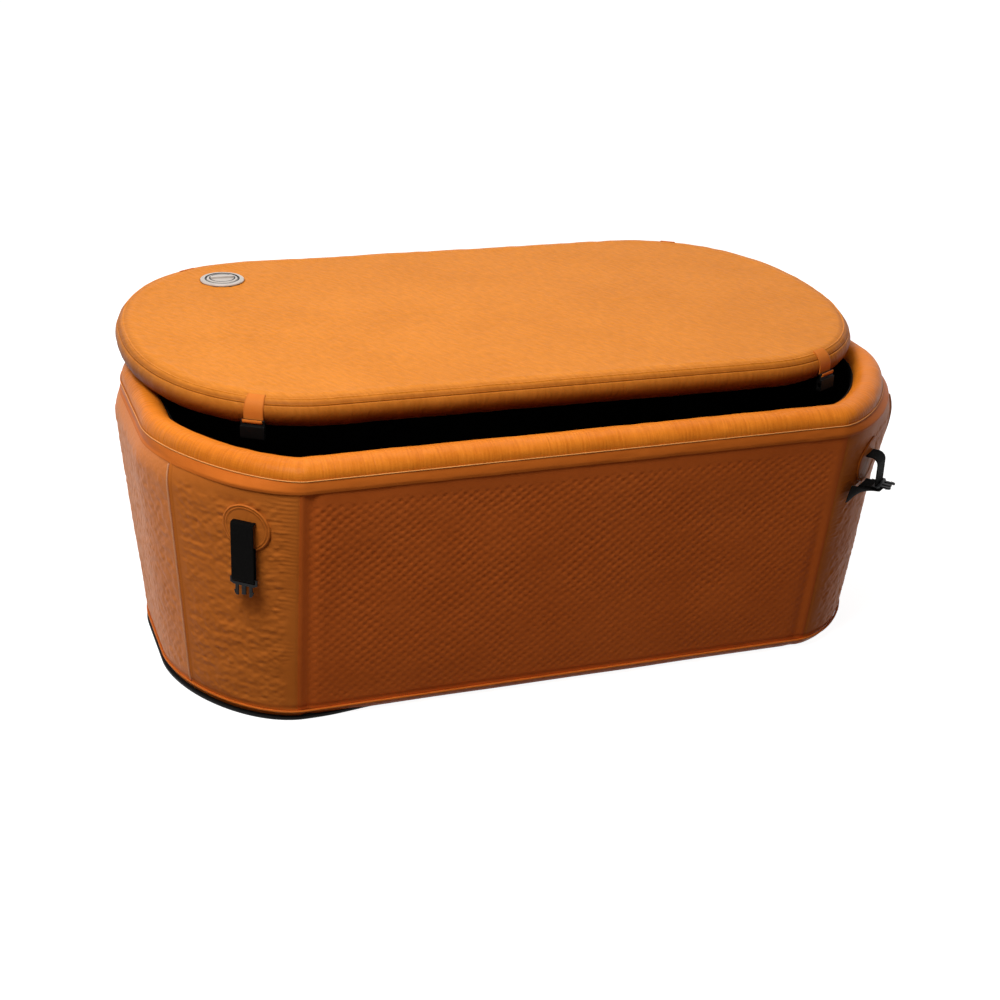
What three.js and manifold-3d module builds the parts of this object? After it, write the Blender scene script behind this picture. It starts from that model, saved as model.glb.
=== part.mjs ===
// Inflatable cold plunge tub: leaning drop-stitch walls under a rolled rim, with a separate
// inflated lid pushed back on it. Millimetres, +Z up, origin on the floor under the middle of the tub.
import * as THREE from 'three';
import { mergeVertices } from 'three/addons/utils/BufferGeometryUtils.js';
import Module from 'manifold-3d';

const wasm = await Module();
wasm.setup();

// Walls: outside size at the floor and at the rim seam. A corner is a conic from the end to the side.
const footLength = 1480;
const footWidth = 744;
const footCornerLength = 220;
const footCornerWidth = 294;
const footCornerRound = 0.54;
const topLength = 1580;
const topWidth = 892;
const topCornerLength = 260;
const topCornerWidth = 331;
const topCornerRound = 0.39;
const rimSeamHeight = 524;
const wallThickness = 72;
const cornerPanelStart = 0.34;
const cornerPanelEnd = 0.93;

// Lower edge of the walls: how far it tucks in at the foot, and over what height
const endTuck = 48;
const endTuckHeight = 72;
const sideTuck = 6;
const sideTuckHeight = 16;

// Base, floor and liner
const baseThickness = 8;
const floorThickness = 50;
const linerThickness = 3;
const linerLip = 14;
const flareDrop = 12;
const flareRise = 4;

// Rim roll, its seam tape and the piping at the foot
const rimBulge = 6;
const rimRise = 32;
const rimSkirt = 16;
const tapeHeight = 20;
const tapeThickness = 2;
const tapeDrop = 5;
const pipingRadius = 2.5;
const pipingHeight = 22;

// Lid: how far its edge stays inside the rim's outline, and where it lies when pushed back
const lidEndInset = 27.5;
const lidSideInset = 10.5;
const lidCornerLength = 332;
const lidEndFlat = 11.5;
const lidCornerRound = 0.77;
const lidThickness = 60;
const lidSkin = 2;
const lidSeamRise = 17;
const lidShiftX = 2;
const lidShiftY = 140;
const lidTurn = -0.022;

// Closure straps and buckles
const strapStation = 0.66;
const strapDrop = 88;
const patchRadius = 48;
const patchThickness = 2.5;
const patchBead = 1.2;
const patchDrop = 14;
const webThickness = 2.2;
const strapWidth = 46;
const strapStandoff = 14;
const strapLength = 112;
const strapTail = 62;
const bowReach = 15;
const bowDrop = 60;
const bowTail = 74;
const tailTwist = 66;
const tailStandoff = 3;
const foldLap = 0.4;
const barHalf = 2;
const buckleRail = 4;
const buckleBase = 6;
const prongLength = 21;
const prongSpan = 40;
const prongWidth = 6;
const prongBarb = 3;
const tongueWidth = 8;
const tabStation = 0.72;
const tabWidth = 38;
const tabThickness = 2;
const tabDrop = 12;
const tabRise = 72;
const tabHook = 400;
const socketWall = 2.5;
const socketDepth = 24;
const socketPlay = 1.6;

// Inflation valves
const valveRadius = 47;
const valveFlange = 5;
const valveBody = 30;
const valveBore = 25;
const valveDepth = 33;
const valveShelf = 3;
const capRadius = 33;
const capHeight = 6;
const capPlug = 4;
const capBar = 9;
const nutWall = 9;
const nutHeight = 9;
const pinRadius = 4;
const pinHead = 9;
const pinHeadHeight = 4;
const pinSink = 9;
const pinTravel = 5;
const sealRadius = 14;
const sealThickness = 3;
const springTurns = 4;
const springWire = 0.9;
const lidValveEnd = 259.5;
const lidValveSide = 146.5;
const wallValveEnd = 370;
const wallValveDrop = 124;

// Drain
const drainEnd = 320;
const drainHeight = 88;
const drainBore = 13;
const drainWall = 4;
const drainFlange = 30;
const drainFlangeHeight = 4;
const drainNut = 24;
const drainNutHeight = 8;
const gasketThickness = 2;
const plugHead = 20;
const plugHeadHeight = 6;
const plugBar = 7;

// Clearances and facets
const gap = 0.35;
const seatGap = 0.3;
const endSteps = 3;
const cornerPanelSteps = 6;
const foldSteps = 1;
const wallRows = 2;
const roundSides = 24;
const springSides = 6;

// Sizes and places that follow
const wallFoot = baseThickness + seatGap;
const wallTop = rimSeamHeight - rimSkirt;
const floorTop = wallFoot + floorThickness;
const rimTop = rimSeamHeight + rimRise;
const lidBottom = rimTop + seatGap;
const lidHalf = lidThickness / 2;
const lidLength = topLength + 2 * (rimBulge - lidEndInset);
const lidWidth = topWidth + 2 * (rimBulge - lidSideInset);
const lidCornerWidth = lidWidth / 2 - lidEndFlat;
const strapHeight = rimSeamHeight - strapDrop;
const lidValveX = lidValveEnd - lidLength / 2;
const lidValveY = lidWidth / 2 - lidValveSide;
const wallValveX = topLength / 2 - wallValveEnd;
const wallValveHeight = rimSeamHeight - wallValveDrop;
const drainX = drainEnd - footLength / 2;

const finishes = {
  tanVinyl: { color: 0xc77a32, roughness: 0.55, metalness: 0 },
  tanTape: { color: 0xa8602a, roughness: 0.5, metalness: 0 },
  blackVinyl: { color: 0x0b0b0b, roughness: 0.6, metalness: 0 },
  whiteCore: { color: 0xd8d4c8, roughness: 0.9, metalness: 0 },
  webbing: { color: 0x100f0e, roughness: 0.8, metalness: 0 },
  blackPlastic: { color: 0x15151a, roughness: 0.4, metalness: 0 },
  greyPlastic: { color: 0xb9b4ae, roughness: 0.35, metalness: 0 },
  rubber: { color: 0x1c1c1c, roughness: 0.8, metalness: 0 },
  steel: { color: 0xb0b0b4, roughness: 0.3, metalness: 1 },
};

const tubGroup = new THREE.Group();

function addMesh(parent, name, geometry, finish) {
  const mesh = new THREE.Mesh(geometry, new THREE.MeshStandardMaterial(finishes[finish]));
  mesh.name = name;
  parent.add(mesh);
  return mesh;
}

// A closed surface through rings of equal length, with its faces turned outward
function skinRings(rings, flat = null) {
  const count = rings[0].length;
  const positions = rings.flat().flatMap((point) => point.toArray());
  const index = [];
  const bands = flat ? rings.length - 1 : rings.length;
  for (let i = 0; i < bands; i += 1) {
    const lower = i * count;
    const upper = ((i + 1) % rings.length) * count;
    for (let j = 0; j < count; j += 1) {
      const next = (j + 1) % count;
      index.push(lower + j, lower + next, upper + next);
      index.push(lower + j, upper + next, upper + j);
    }
  }
  if (flat) {
    const last = (rings.length - 1) * count;
    const winding = Math.sign(THREE.ShapeUtils.area(flat));
    for (const face of THREE.ShapeUtils.triangulateShape(flat, [])) {
      const turned = THREE.ShapeUtils.area(face.map((k) => flat[k])) * winding < 0;
      const [p, q, r] = turned ? [...face].reverse() : face;
      index.push(p, r, q);
      index.push(last + p, last + q, last + r);
    }
  }
  const geometry = new THREE.BufferGeometry();
  geometry.setAttribute('position', new THREE.Float32BufferAttribute(positions, 3));
  geometry.setIndex(signedVolume(positions, index) < 0 ? [...index].reverse() : index);
  return geometry;
}

function signedVolume(positions, index) {
  const corner = (k) => new THREE.Vector3().fromArray(positions, 3 * index[k]);
  let total = 0;
  for (let k = 0; k < index.length; k += 3) {
    total += corner(k).dot(corner(k + 1).cross(corner(k + 2)));
  }
  return total;
}

function toSolid(geometry) {
  const bare = new THREE.BufferGeometry();
  bare.setAttribute('position', geometry.getAttribute('position'));
  bare.setIndex(geometry.getIndex());
  const merged = mergeVertices(bare);
  return new wasm.Manifold(new wasm.Mesh({
    numProp: 3,
    vertProperties: new Float32Array(merged.getAttribute('position').array),
    triVerts: new Uint32Array(merged.getIndex().array),
  }));
}

function toGeometry(solid) {
  const mesh = solid.getMesh();
  const geometry = new THREE.BufferGeometry();
  geometry.setAttribute('position', new THREE.Float32BufferAttribute(mesh.vertProperties, 3));
  geometry.setIndex([...mesh.triVerts]);
  return geometry;
}

function cut(geometry, ...tools) {
  return toGeometry(tools.reduce((solid, tool) => solid.subtract(toSolid(tool)), toSolid(geometry)));
}

function join(geometry, ...others) {
  return toGeometry(others.reduce((solid, other) => solid.add(toSolid(other)), toSolid(geometry)));
}

// A body turned about +Z from [radius, height] pairs that close on themselves or on the axis
function turned(profile, sides = roundSides) {
  const points = profile.map(([radius, height]) => new THREE.Vector2(radius, height));
  if (profile[0][0] > 0) points.push(points[0].clone());
  return new THREE.LatheGeometry(points, sides).rotateX(Math.PI / 2);
}

function block(width, depth, height, x, y, z) {
  return new THREE.BoxGeometry(width, depth, height).translate(x, y, z);
}

// Outlines. A level holds half sizes and one corner; a station is a place t along one of four corners.
function wallLevel(z) {
  const share = z / rimSeamHeight;
  const mix = (foot, top) => foot + (top - foot) * share;
  return {
    halfLength: mix(footLength, topLength) / 2,
    halfWidth: mix(footWidth, topWidth) / 2,
    cornerLength: mix(footCornerLength, topCornerLength),
    cornerWidth: mix(footCornerWidth, topCornerWidth),
    round: mix(footCornerRound, topCornerRound),
  };
}

const lidLevel = {
  halfLength: lidLength / 2,
  halfWidth: lidWidth / 2,
  cornerLength: lidCornerLength,
  cornerWidth: lidCornerWidth,
  round: lidCornerRound,
};

const cornerSigns = [[1, 1], [-1, 1], [-1, -1], [1, -1]];

function spaced(from, to, steps) {
  return Array.from({ length: steps + 1 }, (_, i) => from + (to - from) * (i / steps));
}

// Every outline is faceted at the same stops, so that neighbouring bands share their facets
const cornerStops = [
  ...spaced(0, cornerPanelStart, endSteps),
  ...spaced(cornerPanelStart, cornerPanelEnd, cornerPanelSteps).slice(1),
  ...spaced(cornerPanelEnd, 1, foldSteps).slice(1),
];

function cornerRun(corner, from, to) {
  const [sx, sy] = cornerSigns[corner % cornerSigns.length];
  const low = Math.min(from, to);
  const high = Math.max(from, to);
  const stops = [low, ...cornerStops.filter((t) => t > low && t < high), high];
  return (from < to ? stops : stops.reverse()).map((t) => ({ sx, sy, t }));
}

function fullLoop() {
  return cornerSigns.flatMap((_, i) => cornerRun(i, i % 2, 1 - (i % 2)));
}

function cornerPoint(level, t) {
  const startPull = (1 - t) ** 2;
  const middlePull = 2 * level.round * t * (1 - t);
  const endPull = t ** 2;
  const sum = startPull + middlePull + endPull;
  const endX = level.halfLength - level.cornerLength;
  const startY = level.halfWidth - level.cornerWidth;
  return new THREE.Vector2(
    (level.halfLength * (startPull + middlePull) + endX * endPull) / sum,
    (startY * startPull + level.halfWidth * (middlePull + endPull)) / sum,
  );
}

// The outline's point and outward normal at a station
function outlineAt(level, { sx, sy, t }) {
  const nudge = 1e-4;
  const along = cornerPoint(level, Math.min(t + nudge, 1)).sub(cornerPoint(level, Math.max(t - nudge, 0)));
  const point = cornerPoint(level, t);
  const normal = new THREE.Vector2(along.y, -along.x).normalize();
  const signs = new THREE.Vector2(sx, sy);
  return { point: point.multiply(signs), normal: normal.multiply(signs) };
}

function inset(level, station, depth, z) {
  const { point, normal } = outlineAt(level, station);
  return new THREE.Vector3(point.x - normal.x * depth, point.y - normal.y * depth, z);
}

const wallPoint = (station, depth, z) => inset(wallLevel(z), station, depth, z);

// A band round the walls: the section gives [depth, z] pairs at a station
function wallBand(section) {
  return skinRings(fullLoop().map((station) => section(station).map(([d, z]) => wallPoint(station, d, z))));
}

// A solid through whole loops, from [depth, z] pairs that may depend on the station. The loops run
// backwards, so that twisted facets split the same way as those of the panels.
function wallStack(levels) {
  const loop = fullLoop().reverse();
  const rings = levels.map((pick) => loop.map((station) => wallPoint(station, ...pick(station))));
  return skinRings(rings, rings[0].map((point) => new THREE.Vector2(point.x, point.y)));
}

// The tuck of the lower edge grows from the long sides to the ends
function tuckAt(station) {
  const facing = outlineAt(wallLevel(0), station).normal.x ** 2;
  return {
    depth: sideTuck + (endTuck - sideTuck) * facing,
    height: sideTuckHeight + (endTuckHeight - sideTuckHeight) * facing,
  };
}

function tuckDepth({ depth, height }, z) {
  const left = Math.max(0, 1 - (z - wallFoot) / height);
  return depth * left ** 2;
}

// Wall and corner panels, faceted at the same heights as the liner behind them
const tuckSteps = 4;
const linerFloor = floorTop + seatGap;
const flareFoot = wallTop - flareDrop;
const linerRows = spaced(linerFloor, flareFoot, wallRows);
const rowHeights = [wallFoot, ...linerRows, wallTop];

function panelSection(station) {
  const tuck = tuckAt(station);
  const rising = Array.from({ length: tuckSteps + 1 }, (_, i) => wallFoot + tuck.height * (i / tuckSteps));
  const outer = rising.map((z) => [tuckDepth(tuck, z), z]);
  const straight = rowHeights.filter((z) => z > wallFoot + Math.max(endTuckHeight, sideTuckHeight));
  const inner = [...rowHeights].reverse().map((z) => [wallThickness, z]);
  return [...outer, ...straight.map((z) => [0, z]), ...inner];
}

function panel(stations) {
  const sections = stations.map(panelSection);
  const rings = stations.map((station, i) => sections[i].map(([d, z]) => wallPoint(station, d, z)));
  return skinRings(rings, sections[0].map(([d, z]) => new THREE.Vector2(d, z)));
}

const seamStep = seatGap / (footCornerLength + footCornerWidth);
const seamAfter = (t) => t + seamStep;
const seamBefore = (t) => t - seamStep;

function sidePanel(corner) {
  const edge = seamAfter(cornerPanelEnd);
  return panel([...cornerRun(corner, edge, 1), ...cornerRun(corner + 1, 1, edge)]);
}

function endPanel(corner) {
  const edge = seamBefore(cornerPanelStart);
  return panel([...cornerRun(corner, edge, 0), ...cornerRun(corner + 1, 0, edge)]);
}

function cornerPanel(corner) {
  const run = cornerRun(corner, seamAfter(cornerPanelStart), seamBefore(cornerPanelEnd));
  return panel(corner % 2 ? run.reverse() : run);
}

// Frames on the back wall: local +Z points out of the leaning wall
const backLean = Math.atan((topWidth - footWidth) / 2 / rimSeamHeight);

function backWallGroup(x, z) {
  const group = new THREE.Group();
  group.position.set(x, wallLevel(z).halfWidth, z);
  group.rotation.x = -(Math.PI / 2 + backLean);
  group.updateMatrix();
  return group;
}

// Inflation valve: z = 0 is the outside of the skin that it clamps
function valveCut(skin) {
  const pocket = valveBody + nutWall + 1;
  const nutFloor = skin + nutHeight + 1;
  const bottom = valveDepth + sealThickness + pinTravel + 2;
  return turned([
    [0, valveFlange],
    [valveBody + gap, valveFlange],
    [valveBody + gap, -skin],
    [pocket, -skin],
    [pocket, -nutFloor],
    [valveBody + gap, -nutFloor],
    [valveBody + gap, -bottom],
    [0, -bottom],
  ].reverse());
}

function valveBodyShape() {
  const capSeat = capRadius + 0.6;
  const seatHeight = 1.5;
  const shelfTop = valveShelf - valveDepth;
  return turned([
    [valveBore, seatHeight],
    [valveBore, shelfTop],
    [pinRadius + gap, shelfTop],
    [pinRadius + gap, -valveDepth],
    [valveBody, -valveDepth],
    [valveBody, seatGap],
    [valveRadius, seatGap],
    [valveRadius, valveFlange * 0.5],
    [valveRadius - 3, valveFlange],
    [capSeat + 3, valveFlange],
    [capSeat, valveFlange - 2],
    [capSeat, seatHeight],
  ]);
}

function valveCapShape() {
  const seat = 1.5 + seatGap;
  const rim = seat + capHeight * 0.5;
  const top = seat + capHeight * 0.7;
  const cap = turned([
    [0, -capPlug],
    [valveBore - gap, -capPlug],
    [valveBore - gap, seat],
    [capRadius, seat],
    [capRadius, rim],
    [capRadius - 4, top],
    [0, top],
  ]);
  const bar = block(2 * (capRadius - 8), capBar, capHeight, 0, 0, top + capHeight / 2 - 1);
  return join(cap, bar);
}

// A nut with flat sides, hanging down from z = top
function nutShape(bore, reach, sides, height, top) {
  const outline = new THREE.Shape(Array.from({ length: sides }, (_, i) => {
    const angle = (i / sides) * 2 * Math.PI;
    return new THREE.Vector2(reach * Math.cos(angle), reach * Math.sin(angle));
  }));
  outline.holes.push(new THREE.Path().absarc(0, 0, bore, 0, 2 * Math.PI));
  const settings = { depth: height, bevelEnabled: false, curveSegments: roundSides / 2 };
  return new THREE.ExtrudeGeometry(outline, settings).translate(0, 0, top - height);
}

function valvePinShape() {
  const head = -pinSink;
  const sealTop = -valveDepth - seatGap;
  return turned([
    [0, sealTop - sealThickness],
    [sealRadius, sealTop - sealThickness],
    [sealRadius, sealTop],
    [pinRadius, sealTop],
    [pinRadius, head - pinHeadHeight],
    [pinHead, head - pinHeadHeight],
    [pinHead, head - 1],
    [pinHead - 1, head],
    [0, head],
  ], 16);
}

function valveSpringShape() {
  const low = valveShelf - valveDepth + springWire + seatGap;
  const high = -pinSink - pinHeadHeight - springWire - seatGap;
  const radius = pinRadius + springWire + 1.2;
  const steps = springTurns * 8;
  const points = Array.from({ length: steps + 1 }, (_, i) => {
    const angle = (i / steps) * springTurns * 2 * Math.PI;
    return new THREE.Vector3(radius * Math.cos(angle), radius * Math.sin(angle), low + (high - low) * (i / steps));
  });
  const wire = new THREE.Shape().absarc(0, 0, springWire, 0, 2 * Math.PI);
  const path = new THREE.CatmullRomCurve3(points);
  return new THREE.ExtrudeGeometry(wire, { steps, extrudePath: path, curveSegments: springSides / 2 });
}

function addValve(parent, name, skin) {
  addMesh(parent, `${name}_body`, valveBodyShape(), 'greyPlastic');
  const nut = nutShape(valveBody + gap, valveBody + nutWall, 12, nutHeight, -skin - seatGap);
  addMesh(parent, `${name}_lock_nut`, nut, 'greyPlastic');
  addMesh(parent, `${name}_pin`, valvePinShape(), 'greyPlastic');
  addMesh(parent, `${name}_spring`, valveSpringShape(), 'steel');
  addMesh(parent, `${name}_cap`, valveCapShape(), 'greyPlastic');
}

// Drain: a threaded tube through the back wall, clamped by a nut on the liner, with a full-length plug
const drainTube = drainBore + drainWall;
const drainSeat = gasketThickness + 2 * seatGap;
const drainReach = wallThickness + gap + linerThickness + seatGap + drainNutHeight;

function drainHole() {
  const length = drainReach + drainSeat;
  return turned([
    [0, -length],
    [drainTube + gap, -length],
    [drainTube + gap, length],
    [0, length],
  ]);
}

function addDrain(parent) {
  addMesh(parent, 'drain_body', turned([
    [drainBore, drainSeat + drainFlangeHeight],
    [drainBore, -drainReach],
    [drainTube, -drainReach],
    [drainTube, drainSeat],
    [drainFlange, drainSeat],
    [drainFlange, drainSeat + drainFlangeHeight - 1],
    [drainFlange - 1, drainSeat + drainFlangeHeight],
  ]), 'blackPlastic');
  addMesh(parent, 'drain_gasket', turned([
    [drainTube + gap, seatGap],
    [drainFlange - 1, seatGap],
    [drainFlange - 1, seatGap + gasketThickness],
    [drainTube + gap, seatGap + gasketThickness],
  ]), 'rubber');
  const nut = nutShape(drainTube + gap, drainNut, 8, drainNutHeight, drainNutHeight - drainReach);
  addMesh(parent, 'drain_lock_nut', nut, 'blackPlastic');
  const headFoot = drainSeat + drainFlangeHeight + seatGap;
  const plug = turned([
    [0, -drainReach],
    [drainBore - gap, -drainReach],
    [drainBore - gap, headFoot],
    [plugHead, headFoot],
    [plugHead, headFoot + plugHeadHeight - 1.5],
    [plugHead - 1.5, headFoot + plugHeadHeight],
    [0, headFoot + plugHeadHeight],
  ]);
  const bar = block(2 * plugHead - 6, plugBar, plugHeadHeight, 0, 0, headFoot + plugHeadHeight * 1.4);
  addMesh(parent, 'drain_plug', join(plug, bar), 'blackPlastic');
}

// Tub shell
const wallValveGroup = backWallGroup(wallValveX, wallValveHeight);
const drainGroup = backWallGroup(drainX, drainHeight);
const backCuts = [
  valveCut(lidSkin).applyMatrix4(wallValveGroup.matrix),
  drainHole().applyMatrix4(drainGroup.matrix),
];
addMesh(tubGroup, 'wall_back', cut(sidePanel(0), ...backCuts), 'tanVinyl');
addMesh(tubGroup, 'wall_front', sidePanel(2), 'tanVinyl');
addMesh(tubGroup, 'wall_left_end', endPanel(1), 'tanVinyl');
addMesh(tubGroup, 'wall_right_end', endPanel(3), 'tanVinyl');
const cornerNames = ['back_right', 'back_left', 'front_left', 'front_right'];
cornerNames.forEach((name, corner) => {
  addMesh(tubGroup, `wall_corner_${name}`, cornerPanel(corner), 'tanVinyl');
});

const rimMiddle = wallThickness / 2;
const rimReach = rimMiddle + rimBulge;
const rimSteps = 9;

function rimSection() {
  const roll = Array.from({ length: rimSteps + 1 }, (_, i) => {
    const angle = (i / rimSteps) * Math.PI;
    return [rimMiddle - rimReach * Math.cos(angle), rimSeamHeight + rimRise * Math.sin(angle)];
  });
  return [[1, wallTop + seatGap], ...roll, [wallThickness - 1, wallTop + seatGap]];
}
addMesh(tubGroup, 'rim_roll', wallBand(rimSection), 'tanVinyl');

function tapeSection() {
  const top = rimSeamHeight - tapeDrop;
  const flare = rimBulge * 0.65 + gap;
  const shape = [[-gap, top - tapeHeight], [-gap, wallTop], [-flare, top]];
  const face = shape.map(([d, z]) => [d - tapeThickness, z]).reverse();
  return [...shape, ...face];
}
addMesh(tubGroup, 'rim_seam_tape', wallBand(tapeSection), 'tanTape');

const pipingSides = 6;

function pipingSection(station) {
  const middle = tuckDepth(tuckAt(station), pipingHeight) - pipingRadius - gap;
  const slope = 2 * tuckDepth(tuckAt(station), pipingHeight) / tuckAt(station).height;
  return Array.from({ length: pipingSides }, (_, i) => {
    const angle = (i / pipingSides) * 2 * Math.PI;
    const centre = middle - slope * pipingRadius;
    return [centre + pipingRadius * Math.cos(angle), pipingHeight + pipingRadius * Math.sin(angle)];
  });
}
addMesh(tubGroup, 'foot_piping', wallBand(pipingSection), 'tanTape');

addMesh(tubGroup, 'base_skin', wallStack([
  (station) => [tuckAt(station).depth * (1 + 2 * baseThickness / tuckAt(station).height), 0],
  (station) => [tuckAt(station).depth + 1, baseThickness],
]), 'blackVinyl');

const linerOutside = wallThickness + gap;
addMesh(tubGroup, 'floor_pad', wallStack([
  () => [linerOutside, wallFoot],
  () => [linerOutside, floorTop],
]), 'whiteCore');

const lipDepth = rimMiddle + rimReach + gap;
const lipTop = rimSeamHeight + linerLip;
const flareTop = wallTop + flareRise;
const linerFace = (floor, depth, lip) => [
  () => [depth, floor],
  ...linerRows.slice(1).map((z) => () => [depth, z]),
  () => [lip, flareTop],
  () => [lip, lipTop],
];
const linerShell = wallStack([
  ...linerFace(linerFloor, linerOutside, lipDepth),
  ...linerFace(linerFloor + linerThickness, linerOutside + linerThickness, lipDepth + linerThickness).reverse(),
]);
addMesh(tubGroup, 'inner_liner', cut(linerShell, backCuts[1]), 'blackVinyl');

addValve(wallValveGroup, 'wall_valve', lidSkin);
addDrain(drainGroup);
tubGroup.add(wallValveGroup, drainGroup);

// Webbing: a flat ribbon along points, whose width direction may turn on the way
const acrossX = new THREE.Vector3(1, 0, 0);

function ribbon(points, width, thickness, acrossAt = () => acrossX) {
  const last = points.length - 1;
  const rings = points.map((point, i) => {
    const along = points[Math.min(i + 1, last)].clone().sub(points[Math.max(i - 1, 0)]).normalize();
    const across = acrossAt(i).clone();
    across.addScaledVector(along, -across.dot(along)).normalize();
    const face = new THREE.Vector3().crossVectors(along, across);
    const corner = (u, v) => point.clone().addScaledVector(across, u * width / 2).addScaledVector(face, v * thickness / 2);
    return [corner(-1, -1), corner(1, -1), corner(1, 1), corner(-1, 1)];
  });
  return skinRings(rings, [[-1, -1], [1, -1], [1, 1], [-1, 1]].map(([x, y]) => new THREE.Vector2(x, y)));
}

// Points of an arc in the local plane of outward (y) and up (z), by angles in degrees from +y
function arcPoints(y, z, radius, from, to, steps) {
  return Array.from({ length: steps + 1 }, (_, i) => {
    const angle = THREE.MathUtils.degToRad(from + (to - from) * (i / steps));
    return new THREE.Vector3(0, y + radius * Math.cos(angle), z + radius * Math.sin(angle));
  });
}

const barCorner = Math.hypot(barHalf, barHalf);
const wrapRadius = (thickness) => barCorner + gap + thickness / 2;
const strapWrap = wrapRadius(webThickness);

// A frame standing on an outline: local x along it, y outward, z up
function edgeGroup(level, station, z) {
  const { point, normal } = outlineAt(level, station);
  const group = new THREE.Group();
  group.position.set(point.x, point.y, z);
  group.rotation.z = Math.atan2(normal.y, normal.x) - Math.PI / 2;
  return group;
}

// How far out the wall lies, in the frame of a strap's station, at a local x and z
function wallReach(station, x, z) {
  const middle = outlineAt(wallLevel(strapHeight), station);
  const along = new THREE.Vector2(middle.normal.y, -middle.normal.x);
  const sense = -station.sx * station.sy;
  const level = wallLevel(strapHeight + z);
  const offset = (t) => outlineAt(level, { ...station, t }).point.sub(middle.point);
  let [low, high] = [0, 1];
  for (let i = 0; i < 30; i += 1) {
    const t = (low + high) / 2;
    if ((offset(t).dot(along) - x) * sense < 0) low = t;
    else high = t;
  }
  return offset(low).dot(middle.normal);
}

const patchRings = 3;
const patchSides = 20;

function patchShape(station) {
  const beadFoot = patchRadius - 5 * patchBead;
  const disc = turned([
    ...spaced(0, patchRadius, patchRings).map((radius) => [radius, 0]),
    [patchRadius, patchThickness],
    [patchRadius - 1.5 * patchBead, patchThickness + patchBead],
    [patchRadius - 3 * patchBead, patchThickness + patchBead],
    ...spaced(beadFoot, 0, patchRings).map((radius) => [radius, patchThickness]),
  ], patchSides).rotateX(-Math.PI / 2);
  const position = disc.getAttribute('position');
  for (let i = 0; i < position.count; i += 1) {
    const x = position.getX(i);
    const z = position.getZ(i) - patchDrop;
    position.setXYZ(i, x, position.getY(i) + gap + wallReach(station, x, z), z);
  }
  return disc;
}

const rootGap = patchThickness + 2 * gap;
const anchorEnd = strapStandoff - Math.SQRT1_2 * webThickness - seatGap;

function anchorShape() {
  return ribbon([new THREE.Vector3(0, rootGap, 0), new THREE.Vector3(0, anchorEnd, 0)], strapWidth, webThickness);
}

// Hanging strap: straight down, under the buckle's bar and up again behind
const hangBar = new THREE.Vector3(0, strapStandoff - strapWrap, -strapLength);

function hangingStrap() {
  const { y, z } = hangBar;
  return ribbon([
    new THREE.Vector3(0, strapStandoff, webThickness / 2),
    ...arcPoints(y, z, strapWrap, 0, -180, 8),
    new THREE.Vector3(0, y - strapWrap, z + strapTail),
  ], strapWidth, webThickness);
}

// Bowed strap: out from the wall, over, down and back under the buckle's bar, where it is folded
// sideways into a tail that twists upright as it comes to the wall
const bowBar = new THREE.Vector3(0, strapStandoff + bowReach - strapWrap, -bowDrop);

function bowedStrap(station) {
  const { y, z } = bowBar;
  const bow = ribbon([
    new THREE.Vector3(0, strapStandoff - webThickness / 2, 0),
    ...arcPoints(strapStandoff, -bowReach, bowReach, 90, 0, 6),
    ...arcPoints(y, z, strapWrap, 0, -90, 4),
    new THREE.Vector3(0, strapStandoff, z - strapWrap),
  ], strapWidth, webThickness);
  const half = strapWidth / 2;
  const height = z - strapWrap - webThickness + foldLap;
  const tailSteps = 8;
  const turns = [0, ...spaced(0, THREE.MathUtils.degToRad(tailTwist), tailSteps)];
  const tail = [-half, ...spaced(half, bowTail, tailSteps)].map((x, i) => {
    const reach = wallReach(station, x, height) + tailStandoff;
    return new THREE.Vector3(x, reach + half * Math.cos(turns[i]), height);
  });
  const acrossAt = (i) => new THREE.Vector3(0, Math.cos(turns[i]), Math.sin(turns[i]));
  return join(bow, ribbon(tail, strapWidth, webThickness, acrossAt));
}

// Male buckle: hangs down from its bar, with a slot for the webbing, a tongue and two barbed prongs
const slotHeight = barCorner + 2 * gap + webThickness - barHalf + 1;
const buckleHalf = strapWidth / 2 + gap + buckleRail;

function slotPath(width) {
  const half = width / 2 + gap;
  return new THREE.Path([
    new THREE.Vector2(-half, -barHalf),
    new THREE.Vector2(half, -barHalf),
    new THREE.Vector2(half, -barHalf - slotHeight),
    new THREE.Vector2(-half, -barHalf - slotHeight),
  ]);
}

function maleBuckle() {
  const shoulder = -barHalf - slotHeight - buckleBase * 0.4;
  const foot = -barHalf - slotHeight - buckleBase;
  const tip = foot - prongLength;
  const outer = prongSpan / 2;
  const right = [
    [buckleHalf, barHalf],
    [buckleHalf, shoulder],
    [outer, foot],
    [outer - prongBarb, foot],
    [outer - prongBarb, tip + prongLength * 0.45],
    [outer, tip + prongLength * 0.45],
    [outer - prongBarb, tip + 2],
    [outer - prongBarb - 2, tip],
    [outer - prongWidth - prongBarb, tip],
    [outer - prongWidth - prongBarb, foot],
    [tongueWidth / 2, foot],
    [tongueWidth / 2, tip + prongBarb],
  ];
  const left = right.map(([x, y]) => [-x, y]);
  const shape = new THREE.Shape([...left, ...right.reverse()].map(([x, y]) => new THREE.Vector2(x, y)));
  shape.holes.push(slotPath(strapWidth));
  const plate = new THREE.ExtrudeGeometry(shape, { depth: 2 * barHalf, bevelEnabled: false });
  return plate.translate(0, 0, -barHalf).rotateX(Math.PI / 2);
}

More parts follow.
